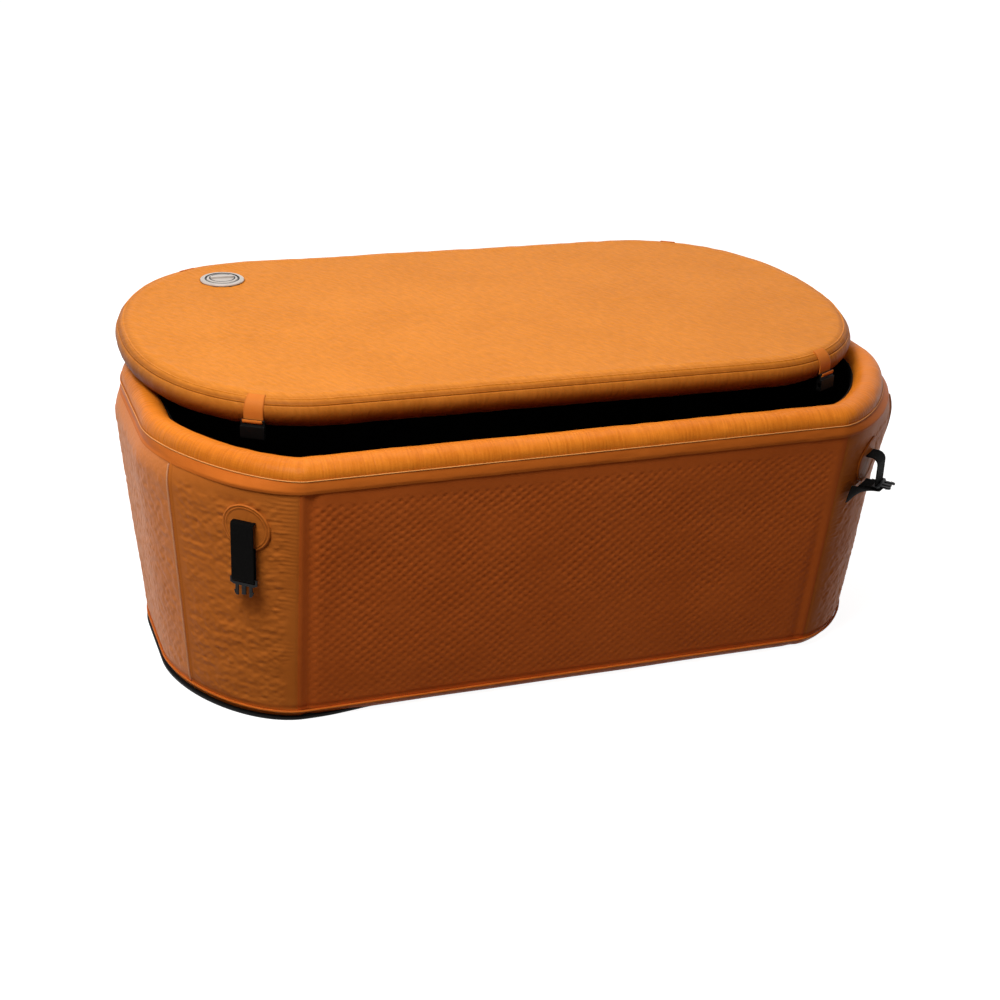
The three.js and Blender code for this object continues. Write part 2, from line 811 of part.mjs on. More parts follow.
// Female socket: a frame for the lid tab over a box that opens downward, with a window in each side
function buckleSocket() {
  const half = prongSpan / 2 + gap + socketWall;
  const neck = -barHalf - slotHeight - socketWall;
  const cavityHeight = 2 * barHalf + 2 * gap + socketPlay;
  const thickness = cavityHeight + 2 * socketWall;
  const mouth = neck - socketDepth;
  const frame = new THREE.Shape([
    new THREE.Vector2(-half, barHalf),
    new THREE.Vector2(-half, neck - 1),
    new THREE.Vector2(half, neck - 1),
    new THREE.Vector2(half, barHalf),
  ]);
  frame.holes.push(slotPath(tabWidth));
  const plate = new THREE.ExtrudeGeometry(frame, { depth: 2 * barHalf, bevelEnabled: false });
  plate.translate(0, 0, -barHalf).rotateX(Math.PI / 2);
  const box = block(2 * half, thickness, socketDepth, 0, 0, (neck + mouth) / 2);
  const cavity = block(2 * (half - socketWall), cavityHeight, socketDepth, 0, 0, (neck + mouth) / 2 - socketWall);
  const window = block(3 * half, cavityHeight, socketDepth * 0.4, 0, 0, (neck + mouth) / 2);
  return cut(join(plate, box), cavity, window);
}

cornerNames.forEach((name, corner) => {
  const [sx, sy] = cornerSigns[corner];
  const station = { sx, sy, t: strapStation };
  const place = edgeGroup(wallLevel(strapHeight), station, strapHeight);
  const bowed = name === 'front_right';
  addMesh(place, `strap_patch_${name}`, patchShape(station), 'tanVinyl');
  addMesh(place, `strap_anchor_${name}`, anchorShape(), 'webbing');
  addMesh(place, `strap_${name}`, bowed ? bowedStrap(station) : hangingStrap(), 'webbing');
  const buckle = addMesh(place, `buckle_${name}`, maleBuckle(), 'blackPlastic');
  buckle.position.copy(bowed ? bowBar : hangBar);
  if (bowed) buckle.rotation.x = Math.PI / 2;
  tubGroup.add(place);
});

// Lid: a drop-stitch core inside two skins that meet at a seam on the rounded edge
const lidGroup = new THREE.Group();
lidGroup.position.set(lidShiftX, lidShiftY, lidBottom + lidHalf);
lidGroup.rotation.z = lidTurn;
tubGroup.add(lidGroup);

function lidRing(radius, angle) {
  const depth = lidHalf - radius * Math.cos(angle);
  return fullLoop().map((station) => inset(lidLevel, station, depth, radius * Math.sin(angle)));
}

function lidShell(angles, outer, inner = 0) {
  const rings = angles.map((angle) => lidRing(outer, angle));
  if (inner) rings.unshift(...angles.map((angle) => lidRing(inner, angle)).reverse());
  return skinRings(rings, rings[0].map((point) => new THREE.Vector2(point.x, point.y)));
}

const quarter = Math.PI / 2;
const lidSeam = Math.asin(lidSeamRise / lidHalf);
const seamSlit = seatGap / lidHalf;
const lowAngles = spaced(-quarter, lidSeam, 4);
const [, ...highAngles] = spaced(lidSeam, quarter, 3);
const lidInside = lidHalf - lidSkin;
const lidValveCut = valveCut(lidSkin + gap).translate(lidValveX, lidValveY, lidHalf);
const lidCore = lidShell([...lowAngles, ...highAngles], lidInside - gap);
const topSkin = lidShell([lidSeam + seamSlit, ...highAngles], lidHalf, lidInside);
const bottomSkin = lidShell([...lowAngles].reverse(), lidHalf, lidInside);
addMesh(lidGroup, 'lid_core', cut(lidCore, lidValveCut), 'whiteCore');
addMesh(lidGroup, 'lid_top_skin', cut(topSkin, lidValveCut), 'tanVinyl');
addMesh(lidGroup, 'lid_bottom_skin', bottomSkin, 'tanVinyl');

const lidValveGroup = new THREE.Group();
lidValveGroup.position.set(lidValveX, lidValveY, lidHalf);
addValve(lidValveGroup, 'lid_valve', lidSkin + gap);
lidGroup.add(lidValveGroup);

// Lid tabs follow the rounded edge and hook under the sockets' bars
const tabReach = gap + tabThickness / 2;
const tabWrap = wrapRadius(tabThickness);
const tabBar = new THREE.Vector3(0, tabReach + tabWrap, -tabDrop);

function tabShape() {
  return ribbon([
    ...arcPoints(-lidHalf, 0, lidHalf + tabReach, tabRise, 0, 8),
    ...arcPoints(tabBar.y, tabBar.z, tabWrap, 180, tabHook, 8),
  ], tabWidth, tabThickness);
}

cornerNames.forEach((name, corner) => {
  const [sx, sy] = cornerSigns[corner];
  const place = edgeGroup(lidLevel, { sx, sy, t: tabStation }, 0);
  addMesh(place, `lid_tab_${name}`, tabShape(), 'tanVinyl');
  const socket = addMesh(place, `buckle_socket_${name}`, buckleSocket(), 'blackPlastic');
  socket.position.copy(tabBar);
  lidGroup.add(place);
});

export default tubGroup;
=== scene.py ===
import math

import bmesh
import bpy
import numpy as np
from mathutils import Matrix, Vector


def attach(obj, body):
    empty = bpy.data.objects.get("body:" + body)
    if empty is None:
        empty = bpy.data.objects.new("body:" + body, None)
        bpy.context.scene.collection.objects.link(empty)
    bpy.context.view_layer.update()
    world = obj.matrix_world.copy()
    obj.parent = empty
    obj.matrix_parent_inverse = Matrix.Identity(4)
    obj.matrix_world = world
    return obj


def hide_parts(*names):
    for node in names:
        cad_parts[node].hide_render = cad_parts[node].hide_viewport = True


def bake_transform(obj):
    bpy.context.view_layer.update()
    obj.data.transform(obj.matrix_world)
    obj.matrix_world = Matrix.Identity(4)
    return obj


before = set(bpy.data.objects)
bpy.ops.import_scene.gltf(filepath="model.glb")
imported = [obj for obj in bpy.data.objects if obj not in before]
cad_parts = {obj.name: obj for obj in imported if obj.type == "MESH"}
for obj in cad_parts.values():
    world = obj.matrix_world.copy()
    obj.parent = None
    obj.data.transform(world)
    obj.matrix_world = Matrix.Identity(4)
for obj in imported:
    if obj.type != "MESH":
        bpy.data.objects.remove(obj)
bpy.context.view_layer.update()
print("frame loaded:", len(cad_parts), "nodes")

# sizes in metres; the outlines are the solids' own, tucks, lean and rim are shaped further for the skins
tub = {
    "foot": {"length": 1.480, "width": 0.744, "cornerLength": 0.220, "cornerWidth": 0.294, "round": 0.54},
    "top": {"length": 1.580, "width": 0.892, "cornerLength": 0.260, "cornerWidth": 0.331, "round": 0.39},
    "seamHeight": 0.524,
    "wallFoot": 0.0083,
    "skinFoot": 0.0008,
    "wallTop": 0.508,
    "wallDepth": 0.071,
    "panelStart": 0.34,
    "panelEnd": 0.93,
    "endTuck": (0.005, 0.050),
    "sideTuck": (0.006, 0.016),
    "rimInset": (0.004, 0.021),
    "rimInner": 0.078,
    "endLean": {"middle": 0.0125, "rightward": -0.0085, "from": 0.455},
    "endSwell": {"middle": 0.0120, "rightward": 0.0110, "height": 0.445, "spread": 0.075},
}
cornerNames = ["back_right", "back_left", "front_left", "front_right"]
cornerSigns = [(1, 1), (-1, 1), (-1, -1), (1, -1)]


# helpers for shapes


def ease(value, low, high):  # 0 below low, 1 above high, smooth between
    share = np.clip((value - low) / (high - low), 0, 1)
    return share * share * (3 - 2 * share)


def bump(value, middle, width):  # a bell of height 1: e to minus ((value - middle) / width) squared
    return np.exp(-(((value - middle) / width) ** 2))


noiseCells = 256


# random values at whole-number places, eased between them; wrap repeats the first direction
def softNoise(u, v, seed, wrap=noiseCells):
    table = np.random.default_rng(seed).uniform(-1, 1, (noiseCells, noiseCells))
    u, v = np.broadcast_arrays(u, v)
    cellU, cellV = np.floor(u).astype(int), np.floor(v).astype(int)
    shareU, shareV = ease(u - cellU, 0, 1), ease(v - cellV, 0, 1)
    nextU, nextV = (cellU + 1) % wrap, (cellV + 1) % noiseCells
    cellU, cellV = cellU % wrap, cellV % noiseCells
    low = table[cellU, cellV] * (1 - shareV) + table[cellU, nextV] * shareV
    high = table[nextU, cellV] * (1 - shareV) + table[nextU, nextV] * shareV
    return low * (1 - shareU) + high * shareU


def addObject(name, data):  # a new object at the origin, in the scene
    piece = bpy.data.objects.new(name, data)
    bpy.context.scene.collection.objects.link(piece)
    return piece


# a grid of points, rows by columns, becomes quads; closed ways join up and open ends get one polygon
def gridMesh(name, points, closeRows=False, closeColumns=False, capRows=False, capColumns=False,
             uv=None, paintedLight=None, sharp=50):
    rows, columns = points.shape[:2]
    grid = np.arange(rows * columns).reshape(rows, columns)
    ring = np.vstack([grid, grid[:1]]) if closeRows else grid
    ring = np.hstack([ring, ring[:, :1]]) if closeColumns else ring
    quads = np.stack([ring[:-1, :-1], ring[:-1, 1:], ring[1:, 1:], ring[1:, :-1]], axis=-1).reshape(-1, 4)
    caps = []
    if capRows:
        caps += [grid[0][::-1], grid[-1]]
    if capColumns:
        caps += [grid[:, 0], grid[:, -1][::-1]]
    flat = points.reshape(-1, 3)
    fans = [np.stack([np.full(len(cap) - 2, cap[0]), cap[1:-1], cap[2:]], axis=1) for cap in caps]
    triangles = np.vstack([quads[:, [0, 1, 2]], quads[:, [0, 2, 3]], *fans])
    a, b, c = flat[triangles[:, 0]], flat[triangles[:, 1]], flat[triangles[:, 2]]
    if np.einsum("ij,ij->i", a, np.cross(b, c)).sum() < 0:
        quads = quads[:, ::-1]
        caps = [cap[::-1] for cap in caps]
    corners = np.concatenate([quads.ravel(), *caps]).astype(np.int32)
    sizes = np.concatenate([np.full(len(quads), 4), [len(cap) for cap in caps]]).astype(np.int32)
    mesh = bpy.data.meshes.new(name)
    mesh.vertices.add(len(flat))
    mesh.vertices.foreach_set("co", flat.astype(np.float32).ravel())
    mesh.loops.add(len(corners))
    mesh.loops.foreach_set("vertex_index", corners)
    mesh.polygons.add(len(sizes))
    mesh.polygons.foreach_set("loop_start", np.concatenate([[0], np.cumsum(sizes)[:-1]]).astype(np.int32))
    mesh.update(calc_edges=True)
    mesh.polygons.foreach_set("use_smooth", np.ones(len(sizes), dtype=bool))
    # per point values of painted light: painted shade above 0, painted highlight below 0
    if paintedLight is not None:
        layer = mesh.attributes.new("paintedLight", "FLOAT", "POINT")
        layer.data.foreach_set("value", np.ascontiguousarray(paintedLight, dtype=np.float32).ravel())
    if uv is not None:
        layer = mesh.uv_layers.new(name="cloth")
        layer.data.foreach_set("uv", uv.reshape(-1, 2)[corners].astype(np.float32).ravel())
    mesh.set_sharp_from_angle(angle=math.radians(sharp))
    return addObject(name, mesh)


def dress(piece, material, body, slot, *nodes):  # nodes are the solids that the piece stands for
    piece.data.materials.clear()
    piece.data.materials.append(material)
    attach(piece, body)
    if nodes:
        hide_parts(*nodes)
    return piece


# corner curve: end side, corner point and long side weighed by (1-t)^2, 2 round t(1-t) and t^2
def cornerCurve(level, t):
    start, middle, end = (1 - t) ** 2, 2 * level["round"] * t * (1 - t), t ** 2
    total = start + middle + end
    endX = level["length"] / 2 - level["cornerLength"]
    startY = level["width"] / 2 - level["cornerWidth"]
    x = (level["length"] / 2 * (start + middle) + endX * end) / total
    y = (startY * start + level["width"] / 2 * (middle + end)) / total
    return x, y


def outlineAt(level, t):  # point and outward normal in the first quarter
    x, y = cornerCurve(level, t)
    x0, y0 = cornerCurve(level, np.maximum(t - 1e-4, 0))
    x1, y1 = cornerCurve(level, np.minimum(t + 1e-4, 1))
    length = np.hypot(x1 - x0, y1 - y0)
    return x, y, (y1 - y0) / length, -(x1 - x0) / length


def wallLevel(z):  # the outline goes straight from the foot to the rim seam
    share = z / tub["seamHeight"]
    return {key: tub["foot"][key] + (tub["top"][key] - tub["foot"][key]) * share for key in tub["foot"]}


# stations are three rows: share of x, share of y, place on the corner curve
def cornerLeg(corner, start, end):
    signX, signY = cornerSigns[corner]
    t = np.linspace(start, end, 240)
    return np.stack([np.full_like(t, signX), np.full_like(t, signY), t])


def sideLeg(signY, start, end):
    x = np.linspace(start, end, 240)
    return np.stack([x, np.full_like(x, signY), np.ones_like(x)])


def endLeg(signX, start, end):
    y = np.linspace(start, end, 60)
    return np.stack([np.full_like(y, signX), y, np.zeros_like(y)])


def pointsAt(level, stations, depth):  # plan points, moved inward along the normal by depth
    x, y, normalX, normalY = outlineAt(level, stations[2])
    normal = np.stack([stations[0] * normalX, stations[1] * normalY])
    normal = normal / np.linalg.norm(normal, axis=0)
    return stations[0] * x - normal[0] * depth, stations[1] * y - normal[1] * depth, normal


def spaced(legs, count, level, closed=False):  # even steps of arc length along the legs
    path = np.concatenate(legs, axis=1)
    x, y, _ = pointsAt(level, path, 0)
    run = np.concatenate([[0], np.cumsum(np.hypot(np.diff(x), np.diff(y)))])
    picks = np.linspace(0, run[-1], count + 1)[:-1] if closed else np.linspace(0, run[-1], count)
    return np.stack([np.interp(picks, run, row) for row in path]), picks, run[-1]


wholeLoop = [
    endLeg(1, 0, 1), cornerLeg(0, 0, 1), sideLeg(1, 1, -1), cornerLeg(1, 1, 0), endLeg(-1, 1, -1),
    cornerLeg(2, 0, 1), sideLeg(-1, -1, 1), cornerLeg(3, 1, 0), endLeg(1, -1, 0),
]


def tuckAt(stations, z):  # the lower edge draws in, most at the ends: depth (1 - height share)^2
    _, _, normal = pointsAt(wallLevel(0), stations, 0)
    facing = normal[0] ** 2
    depth = tub["sideTuck"][0] + (tub["endTuck"][0] - tub["sideTuck"][0]) * facing
    height = tub["sideTuck"][1] + (tub["endTuck"][1] - tub["sideTuck"][1]) * facing
    left = np.clip(1 - (z - tub["wallFoot"]) / height, 0, 2)
    return depth * left ** 2


def endFacing(stations):  # 0 on the long sides, 1 on the ends
    return pointsAt(wallLevel(tub["seamHeight"]), stations, 0)[2][0] ** 2


# face of the walls near the rim: the ends swell, mostly the right one, then lean in to the roll,
# mostly the left one
def wallFace(stations, z):
    share = np.clip(2 * endFacing(stations) - 1, 0, 1)
    lean, swell = tub["endLean"], tub["endSwell"]
    rise = np.clip((z - lean["from"]) / (tub["wallTop"] - lean["from"]), 0, 1)
    inward = (lean["middle"] + lean["rightward"] * stations[0]) * rise ** 2
    outward = (swell["middle"] + swell["rightward"] * stations[0]) * bump(z, swell["height"], swell["spread"])
    return share * (inward - outward * (1 - rise ** 3))


def rimOuter(stations):  # depth of the roll's outer edge, from its side value to its end value by facing
    side, end = tub["rimInset"]
    return side + (end - side) * endFacing(stations)


def wallSheet(stations, depth, z):  # rows of z by columns of stations, at that depth
    levels = {key: value[:, None] for key, value in wallLevel(z).items()}
    x, y, _ = pointsAt(levels, stations[:, None, :], depth)
    return np.stack([x, y, np.broadcast_to(z[:, None], x.shape)], axis=-1)


# materials


class Wire:  # a shader socket that takes part in sums
    def __init__(self, tree, socket=None):
        self.tree = tree
        self.socket = socket

    def node(self, kind, settings=None, sockets=None, output=0):
        made = self.tree.nodes.new(kind)
        for key, value in (settings or {}).items():
            if key == "stops":
                for i, (place, colour) in enumerate(value):
                    stop = made.color_ramp.elements[i] if i < 2 else made.color_ramp.elements.new(place)
                    stop.position = place
                    stop.color = colour
            else:
                setattr(made, key, value)
        for key, value in (sockets or {}).items():
            if isinstance(value, Wire):
                self.tree.links.new(value.socket, made.inputs[key])
            else:
                made.inputs[key].default_value = value
        return Wire(self.tree, made.outputs[output] if made.outputs else None)

    def other(self, key):  # another output of the same node
        return Wire(self.tree, self.socket.node.outputs[key])

    def maths(self, operation, first, second):
        return self.node("ShaderNodeMath", {"operation": operation}, {0: first, 1: second})

    def __add__(self, other):
        return self.maths("ADD", self, other)

    def __radd__(self, other):
        return self.maths("ADD", other, self)

    def __sub__(self, other):
        return self.maths("SUBTRACT", self, other)

    def __rsub__(self, other):
        return self.maths("SUBTRACT", other, self)

    def __mul__(self, other):
        return self.maths("MULTIPLY", self, other)

    def __rmul__(self, other):
        return self.maths("MULTIPLY", other, self)

    def blendColours(self, first, second):
        settings = {"data_type": "RGBA", "blend_type": "MIX"}
        return self.node("ShaderNodeMix", settings, {0: self, 6: first, 7: second}, 2)


def srgb(red, green, blue):  # display values of 0 to 255 as linear light
    share = np.array([red, green, blue]) / 255
    linear = np.where(share <= 0.04045, share / 12.92, ((share + 0.055) / 1.055) ** 2.4)
    return (*linear.tolist(), 1.0)


def newMaterial(name, constants):  # constants go on the shader's own sockets
    material = bpy.data.materials.new(name)
    material.use_nodes = True
    shader = material.node_tree.nodes["Principled BSDF"]
    for key, value in constants.items():
        shader.inputs[key].default_value = value
    return material, Wire(material.node_tree), shader


def feed(wire, shader, key):
    wire.tree.links.new(wire.socket, shader.inputs[key])


def noiseOn(wires, place, scale, detail):
    return wires.node("ShaderNodeTexNoise", None, {"Vector": place, "Scale": scale, "Detail": detail})


def grainBump(wires, height, strength, distance):
    return wires.node("ShaderNodeBump", None, {"Strength": strength, "Distance": distance, "Height": height})


grain = {
    "broad": (7.0, 3.0), "fine": (55.0, 4.0), "mottle": (0.37, 0.63), "smooth": 0.6, "depth": 0.001,
    "lineStretch": (260, 17, 1), "lines": (1.0, 2.0), "lineShare": 0.5,
    "strokeTurn": -66, "strokeStretch": (1, 0.3, 1), "strokes": (44.0, 2.0), "strokeShare": 0.55,
    "sheenRough": 0.45, "sheenTint": (1.0, 0.86, 0.76, 1.0),
}


# supple coated fabric: mottled colour and fine leather grain; a point attribute of painted light darkens it
# with painted shade above 0 and brightens it with a painted highlight below 0
def vinyl(name, look):
    material, wires, shader = newMaterial(name, {
        "Specular IOR Level": look["gloss"], "Sheen Weight": look["sheen"],
        "Sheen Roughness": grain["sheenRough"], "Sheen Tint": grain["sheenTint"]})
    place = wires.node("ShaderNodeTexCoord", output="Object")
    broad = noiseOn(wires, place, *grain["broad"])
    fine = noiseOn(wires, place, *grain["fine"])
    paintedLight = wires.node("ShaderNodeAttribute", {"attribute_name": "paintedLight"}, output="Fac")
    feed(fine * 0.16 + (look["rough"] - 0.08), shader, "Roughness")
    cells = wires.node("ShaderNodeTexVoronoi", {"feature": "SMOOTH_F1"}, {
        "Vector": place, "Scale": look["grain"], "Smoothness": grain["smooth"]})
    height = cells * 0.6 + fine * 0.8
    shade = broad * 0.65 + fine * 0.35
    if look.get("hairlines"):  # fine lines across the roll, on its own lengthwise and crosswise measures
        measure = wires.node("ShaderNodeUVMap", {"uv_map": "cloth"})
        drawn = wires.node("ShaderNodeMapping", None, {"Vector": measure, "Scale": grain["lineStretch"]})
        lines = noiseOn(wires, drawn, *grain["lines"])
        height = height + lines * look["hairlines"]
        shade = shade * (1 - grain["lineShare"]) + lines * grain["lineShare"]
    if look.get("strokes"):  # long soft strokes, slantwise over the lid
        turned = wires.node("ShaderNodeMapping", {"vector_type": "TEXTURE"}, {
            "Vector": place, "Rotation": (0, 0, math.radians(grain["strokeTurn"])),
            "Scale": grain["strokeStretch"]})
        strokes = noiseOn(wires, turned, *grain["strokes"])
        height = height + strokes * look["strokes"]
        shade = shade * (1 - grain["strokeShare"]) + strokes * grain["strokeShare"]
    low, high = grain["mottle"]
    mottle = wires.node("ShaderNodeMapRange", None, {"Value": shade, "From Min": low, "From Max": high})
    colour = mottle.blendColours(srgb(*look["deep"]), srgb(*look["pale"]))
    # painted shade blends towards the darkest colour, painted highlight towards the palest one
    colour = paintedLight.blendColours(colour, srgb(*look["paintedShadeColour"]))
    feed((paintedLight * -1).blendColours(colour, srgb(*look["paintedHighlightColour"])), shader, "Base Color")
    feed(grainBump(wires, height, look["relief"], grain["depth"]), shader, "Normal")
    return material


# the darkest and palest colours in these looks paint shade and highlight
tanLook = {
    "deep": (211, 118, 43), "pale": (220, 126, 49), "paintedShadeColour": (104, 40, 8), "paintedHighlightColour": (255, 196, 120),
    "rough": 0.46, "gloss": 0.06, "sheen": 0.0, "grain": 520.0, "relief": 0.22,
}
tanVinyl = vinyl("tan_vinyl_skin", tanLook)
# a redder, deeper copy of the tan vinyl for the long sides, which paints the look of shade
shadedSideVinyl = vinyl("tan_vinyl_side_shaded", {**tanLook, "deep": (214, 107, 40), "pale": (223, 114, 45)})
# the ends: the same vinyl with real gloss and sheen, and a paler base colour that paints more of that sheen
endVinylSheen = vinyl("tan_vinyl_end_sheen", {
    **tanLook, "deep": (219, 125, 49), "pale": (228, 133, 55), "gloss": 0.31, "rough": 0.55, "sheen": 0.06,
    "grain": 150.0, "relief": 0.8})
rimVinyl = vinyl("tan_vinyl_rim", {
    **tanLook, "deep": (212, 115, 26), "pale": (234, 135, 38), "hairlines": 3.2, "relief": 0.4, "gloss": 0.09,
    "rough": 0.40})
lidVinyl = vinyl("tan_vinyl_lid", {
    **tanLook, "deep": (206, 124, 40), "pale": (222, 137, 49), "strokes": 3.6, "relief": 0.5, "gloss": 0.05})
tapeVinyl = vinyl("tan_tape_band", {
    **tanLook, "deep": (216, 114, 38), "pale": (224, 121, 43), "relief": 0.15, "gloss": 0.06})
# a paler copy of the tan vinyl, a painted highlight for the seam cords
weltHighlightVinyl = vinyl("tan_welt_cord_highlight", {**tanLook, "deep": (232, 168, 122), "pale": (240, 180, 134)})
blackVinyl = vinyl("black_vinyl_liner", {
    "deep": (12, 12, 12), "pale": (19, 19, 20), "paintedShadeColour": (4, 4, 4), "paintedHighlightColour": (24, 24, 25),
    "rough": 0.58, "gloss": 0.1, "sheen": 0.0, "grain": 420.0, "relief": 0.25,
})


web = {
    "gloss": 0.03, "rib": 0.0016, "yarn": 0.0024, "deep": (4, 4, 4), "pale": (15, 14, 13),
    "rough": 0.66, "relief": 0.6, "depth": 0.0004,
}


# woven strap: the product of two sines, of the strap's own lengthwise and crosswise measures
def webbing(name):
    material, wires, shader = newMaterial(name, {"Specular IOR Level": web["gloss"]})
    measure = wires.node("ShaderNodeUVMap", {"uv_map": "cloth"})
    along = wires.node("ShaderNodeSeparateXYZ", None, {0: measure})
    across = along.other("Y")
    rib = wires.node("ShaderNodeMath", {"operation": "SINE"}, {0: along * (2 * math.pi / web["rib"])})
    yarn = wires.node("ShaderNodeMath", {"operation": "SINE"}, {0: across * (2 * math.pi / web["yarn"])})
    weave = rib * yarn
    feed((weave * 0.5 + 0.5).blendColours(srgb(*web["deep"]), srgb(*web["pale"])), shader, "Base Color")
    feed(weave * 0.06 + web["rough"], shader, "Roughness")
    feed(grainBump(wires, weave, web["relief"], web["depth"]), shader, "Normal")
    return material


moulding = {"flow": (60.0, 3.0), "satin": (2200.0, 1.0), "depth": 0.0003}


# moulded plastic: faint flow mottling and a fine satin texture
def plastic(name, look):
    material, wires, shader = newMaterial(name, {
        "Specular IOR Level": look["gloss"], "Metallic": look.get("metal", 0.0)})
    place = wires.node("ShaderNodeTexCoord", output="Object")
    flow = noiseOn(wires, place, *moulding["flow"])
    satin = noiseOn(wires, place, *moulding["satin"])
    feed(flow.blendColours(srgb(*look["deep"]), srgb(*look["pale"])), shader, "Base Color")
    feed(flow * 0.12 + (look["rough"] - 0.06), shader, "Roughness")
    feed(grainBump(wires, satin, look["relief"], moulding["depth"]), shader, "Normal")
    return material


blackWebbing = webbing("black_webbing_weave")
blackPlastic = plastic("black_plastic_moulded", {
    "deep": (4, 4, 5), "pale": (9, 9, 10), "rough": 0.4, "gloss": 0.18, "relief": 0.12})
socketPlastic = plastic("black_plastic_socket", {
    "deep": (2, 2, 2), "pale": (5, 5, 5), "rough": 0.5, "gloss": 0.12, "relief": 0.12})
greyPlastic = plastic("grey_plastic_moulded", {
    "deep": (178, 170, 162), "pale": (200, 192, 184), "rough": 0.34, "gloss": 0.5, "relief": 0.1})
blackRubber = plastic("black_rubber_gasket", {
    "deep": (16, 16, 16), "pale": (26, 26, 26), "rough": 0.72, "gloss": 0.3, "relief": 0.3})
springSteel = plastic("spring_steel_wire", {
    "deep": (150, 150, 154), "pale": (186, 186, 190), "rough": 0.28, "gloss": 0.5, "relief": 0.1, "metal": 1.0})
darkSeat = plastic("dark_plastic_ring", {
    "deep": (14, 13, 12), "pale": (24, 22, 21), "rough": 0.4, "gloss": 0.25, "relief": 0.12})
print("materials made")

# walls

wallLook = {
    "flat": (0.0027, 0.0027), "corner": (0.0027, 0.0024), "lattice": (0.0212, 0.0184), "midHeight": 0.3,
    "wave": 0.0012, "wavePitch": (0.14, 0.11), "reliefFoot": (0.028, 0.05), "reliefTop": (0.482, 0.016),
    "footRows": 16, "footTop": 0.036, "footHeight": 0.030, "footDip": 0.0008, "footShade": 0.3,
    "lap": 0.0004, "cornerLap": 0.006,
}
pits = {"depth": 2.4, "uneven": 0.35, "rough": 0.28, "driftAlong": (0.0032, 0.006), "driftUp": 0.0030}


# staggered pits: the cube of half (1 + cos along times cos up), its phase and depth shifted by noise
def dimples(u, v, seed, lattice):
    quick, slow = pits["driftAlong"]
    driftU = quick * softNoise(u / 0.034, v / 0.03, seed) + slow * softNoise(u / 0.13, v / 0.12, seed + 3)
    driftV = pits["driftUp"] * softNoise(u / 0.03, v / 0.034, seed + 1)
    wave = np.cos(2 * np.pi * (u + driftU) / lattice[0]) * np.cos(2 * np.pi * (v + driftV) / lattice[1])
    strength = 0.85 + pits["uneven"] * softNoise(u / 0.045, v / 0.04, seed + 2)
    rough = pits["rough"] * softNoise(u / 0.014, v / 0.012, seed + 4)
    return rough - pits["depth"] * (0.5 + 0.5 * wave) ** 3 * strength


def slowWave(u, v, edge, seed):  # broad noise that fades out at a panel's seams
    along, up = wallLook["wavePitch"]
    return wallLook["wave"] * softNoise(u / along, v / up, seed + 5) * ease(edge, 0.0, 0.06)


def faceBand(v):  # 1 over the face, 0 by the floor and under the rim
    top, fade = wallLook["reliefTop"]
    return ease(v, *wallLook["reliefFoot"]) * ease(top - v, 0.0, fade)


sideFace = {
    "dimple": 0.00064, "smoothBand": 0.022, "valley": 0.020, "valleyDepth": 0.0042, "valleyShade": 0.10,
    "border": 0.024, "borderShine": 0.2,
}


# long side: dimples that fade to smooth borders and to the floor, slow waves, a soft valley beside the fold
def sideRelief(u, v, span, seed):
    valley, width = sideFace["valley"], 0.6 * sideFace["valley"]
    edge = np.minimum(u, span - u)
    inside = ease(edge, 0.008, sideFace["smoothBand"] + width)
    inside = inside * faceBand(v) * (0.7 + 0.3 * ease(v, 0.06, 0.34))
    relief = sideFace["dimple"] * dimples(u, v, seed, wallLook["lattice"]) * inside + slowWave(u, v, edge, seed)
    trough = bump(edge, valley, width) * np.where(u < span / 2, 1, 0.5 * ease(0.42 - v, 0.0, 0.2))
    relief = relief - sideFace["valleyDepth"] * trough * ease(edge, 0.0, width)
    shine = sideFace["borderShine"] * ease(sideFace["border"] - edge, 0.0, 0.02)
    # painted shade in the valley beside the fold, and a painted highlight along the smooth borders
    return relief, sideFace["valleyShade"] * trough * ease(v, 0.0, 0.03) - shine


endFace = {
    "dimple": 0.00024, "pebble": 0.0010, "lump": 0.0004, "dip": 0.0007, "dipWidth": 0.0028, "dipShade": 0.12,
}


# end: a fine pebbled face, and a shallow dip along its seams
def endRelief(u, v, span, seed):
    edge = np.minimum(u, span - u)
    inside = ease(edge, 0.004, 0.016) * faceBand(v)
    pebbles = endFace["pebble"] * softNoise(u / 0.0085, v / 0.0105, seed + 8)
    pebbles = pebbles + endFace["lump"] * softNoise(u / 0.017, v / 0.02, seed + 9)
    relief = (endFace["dimple"] * dimples(u, v, seed, wallLook["lattice"]) + pebbles) * inside
    dip = bump(edge, 0.0, endFace["dipWidth"])
    relief = relief + slowWave(u, v, edge, seed) - endFace["dip"] * dip
    # painted shade along the dip by the seams
    return relief, endFace["dipShade"] * dip * np.ones_like(v)


cornerFace = {
    "dimple": 0.0003, "lumps": (0.0007, 0.0006), "wrinkle": 0.0006, "broad": 0.0004, "slow": 0.0016,
    "pleat": 0.000546, "pleatPitch": 0.0086, "welt": 0.0021, "foldDip": 0.0012, "weltShade": 0.12,
}


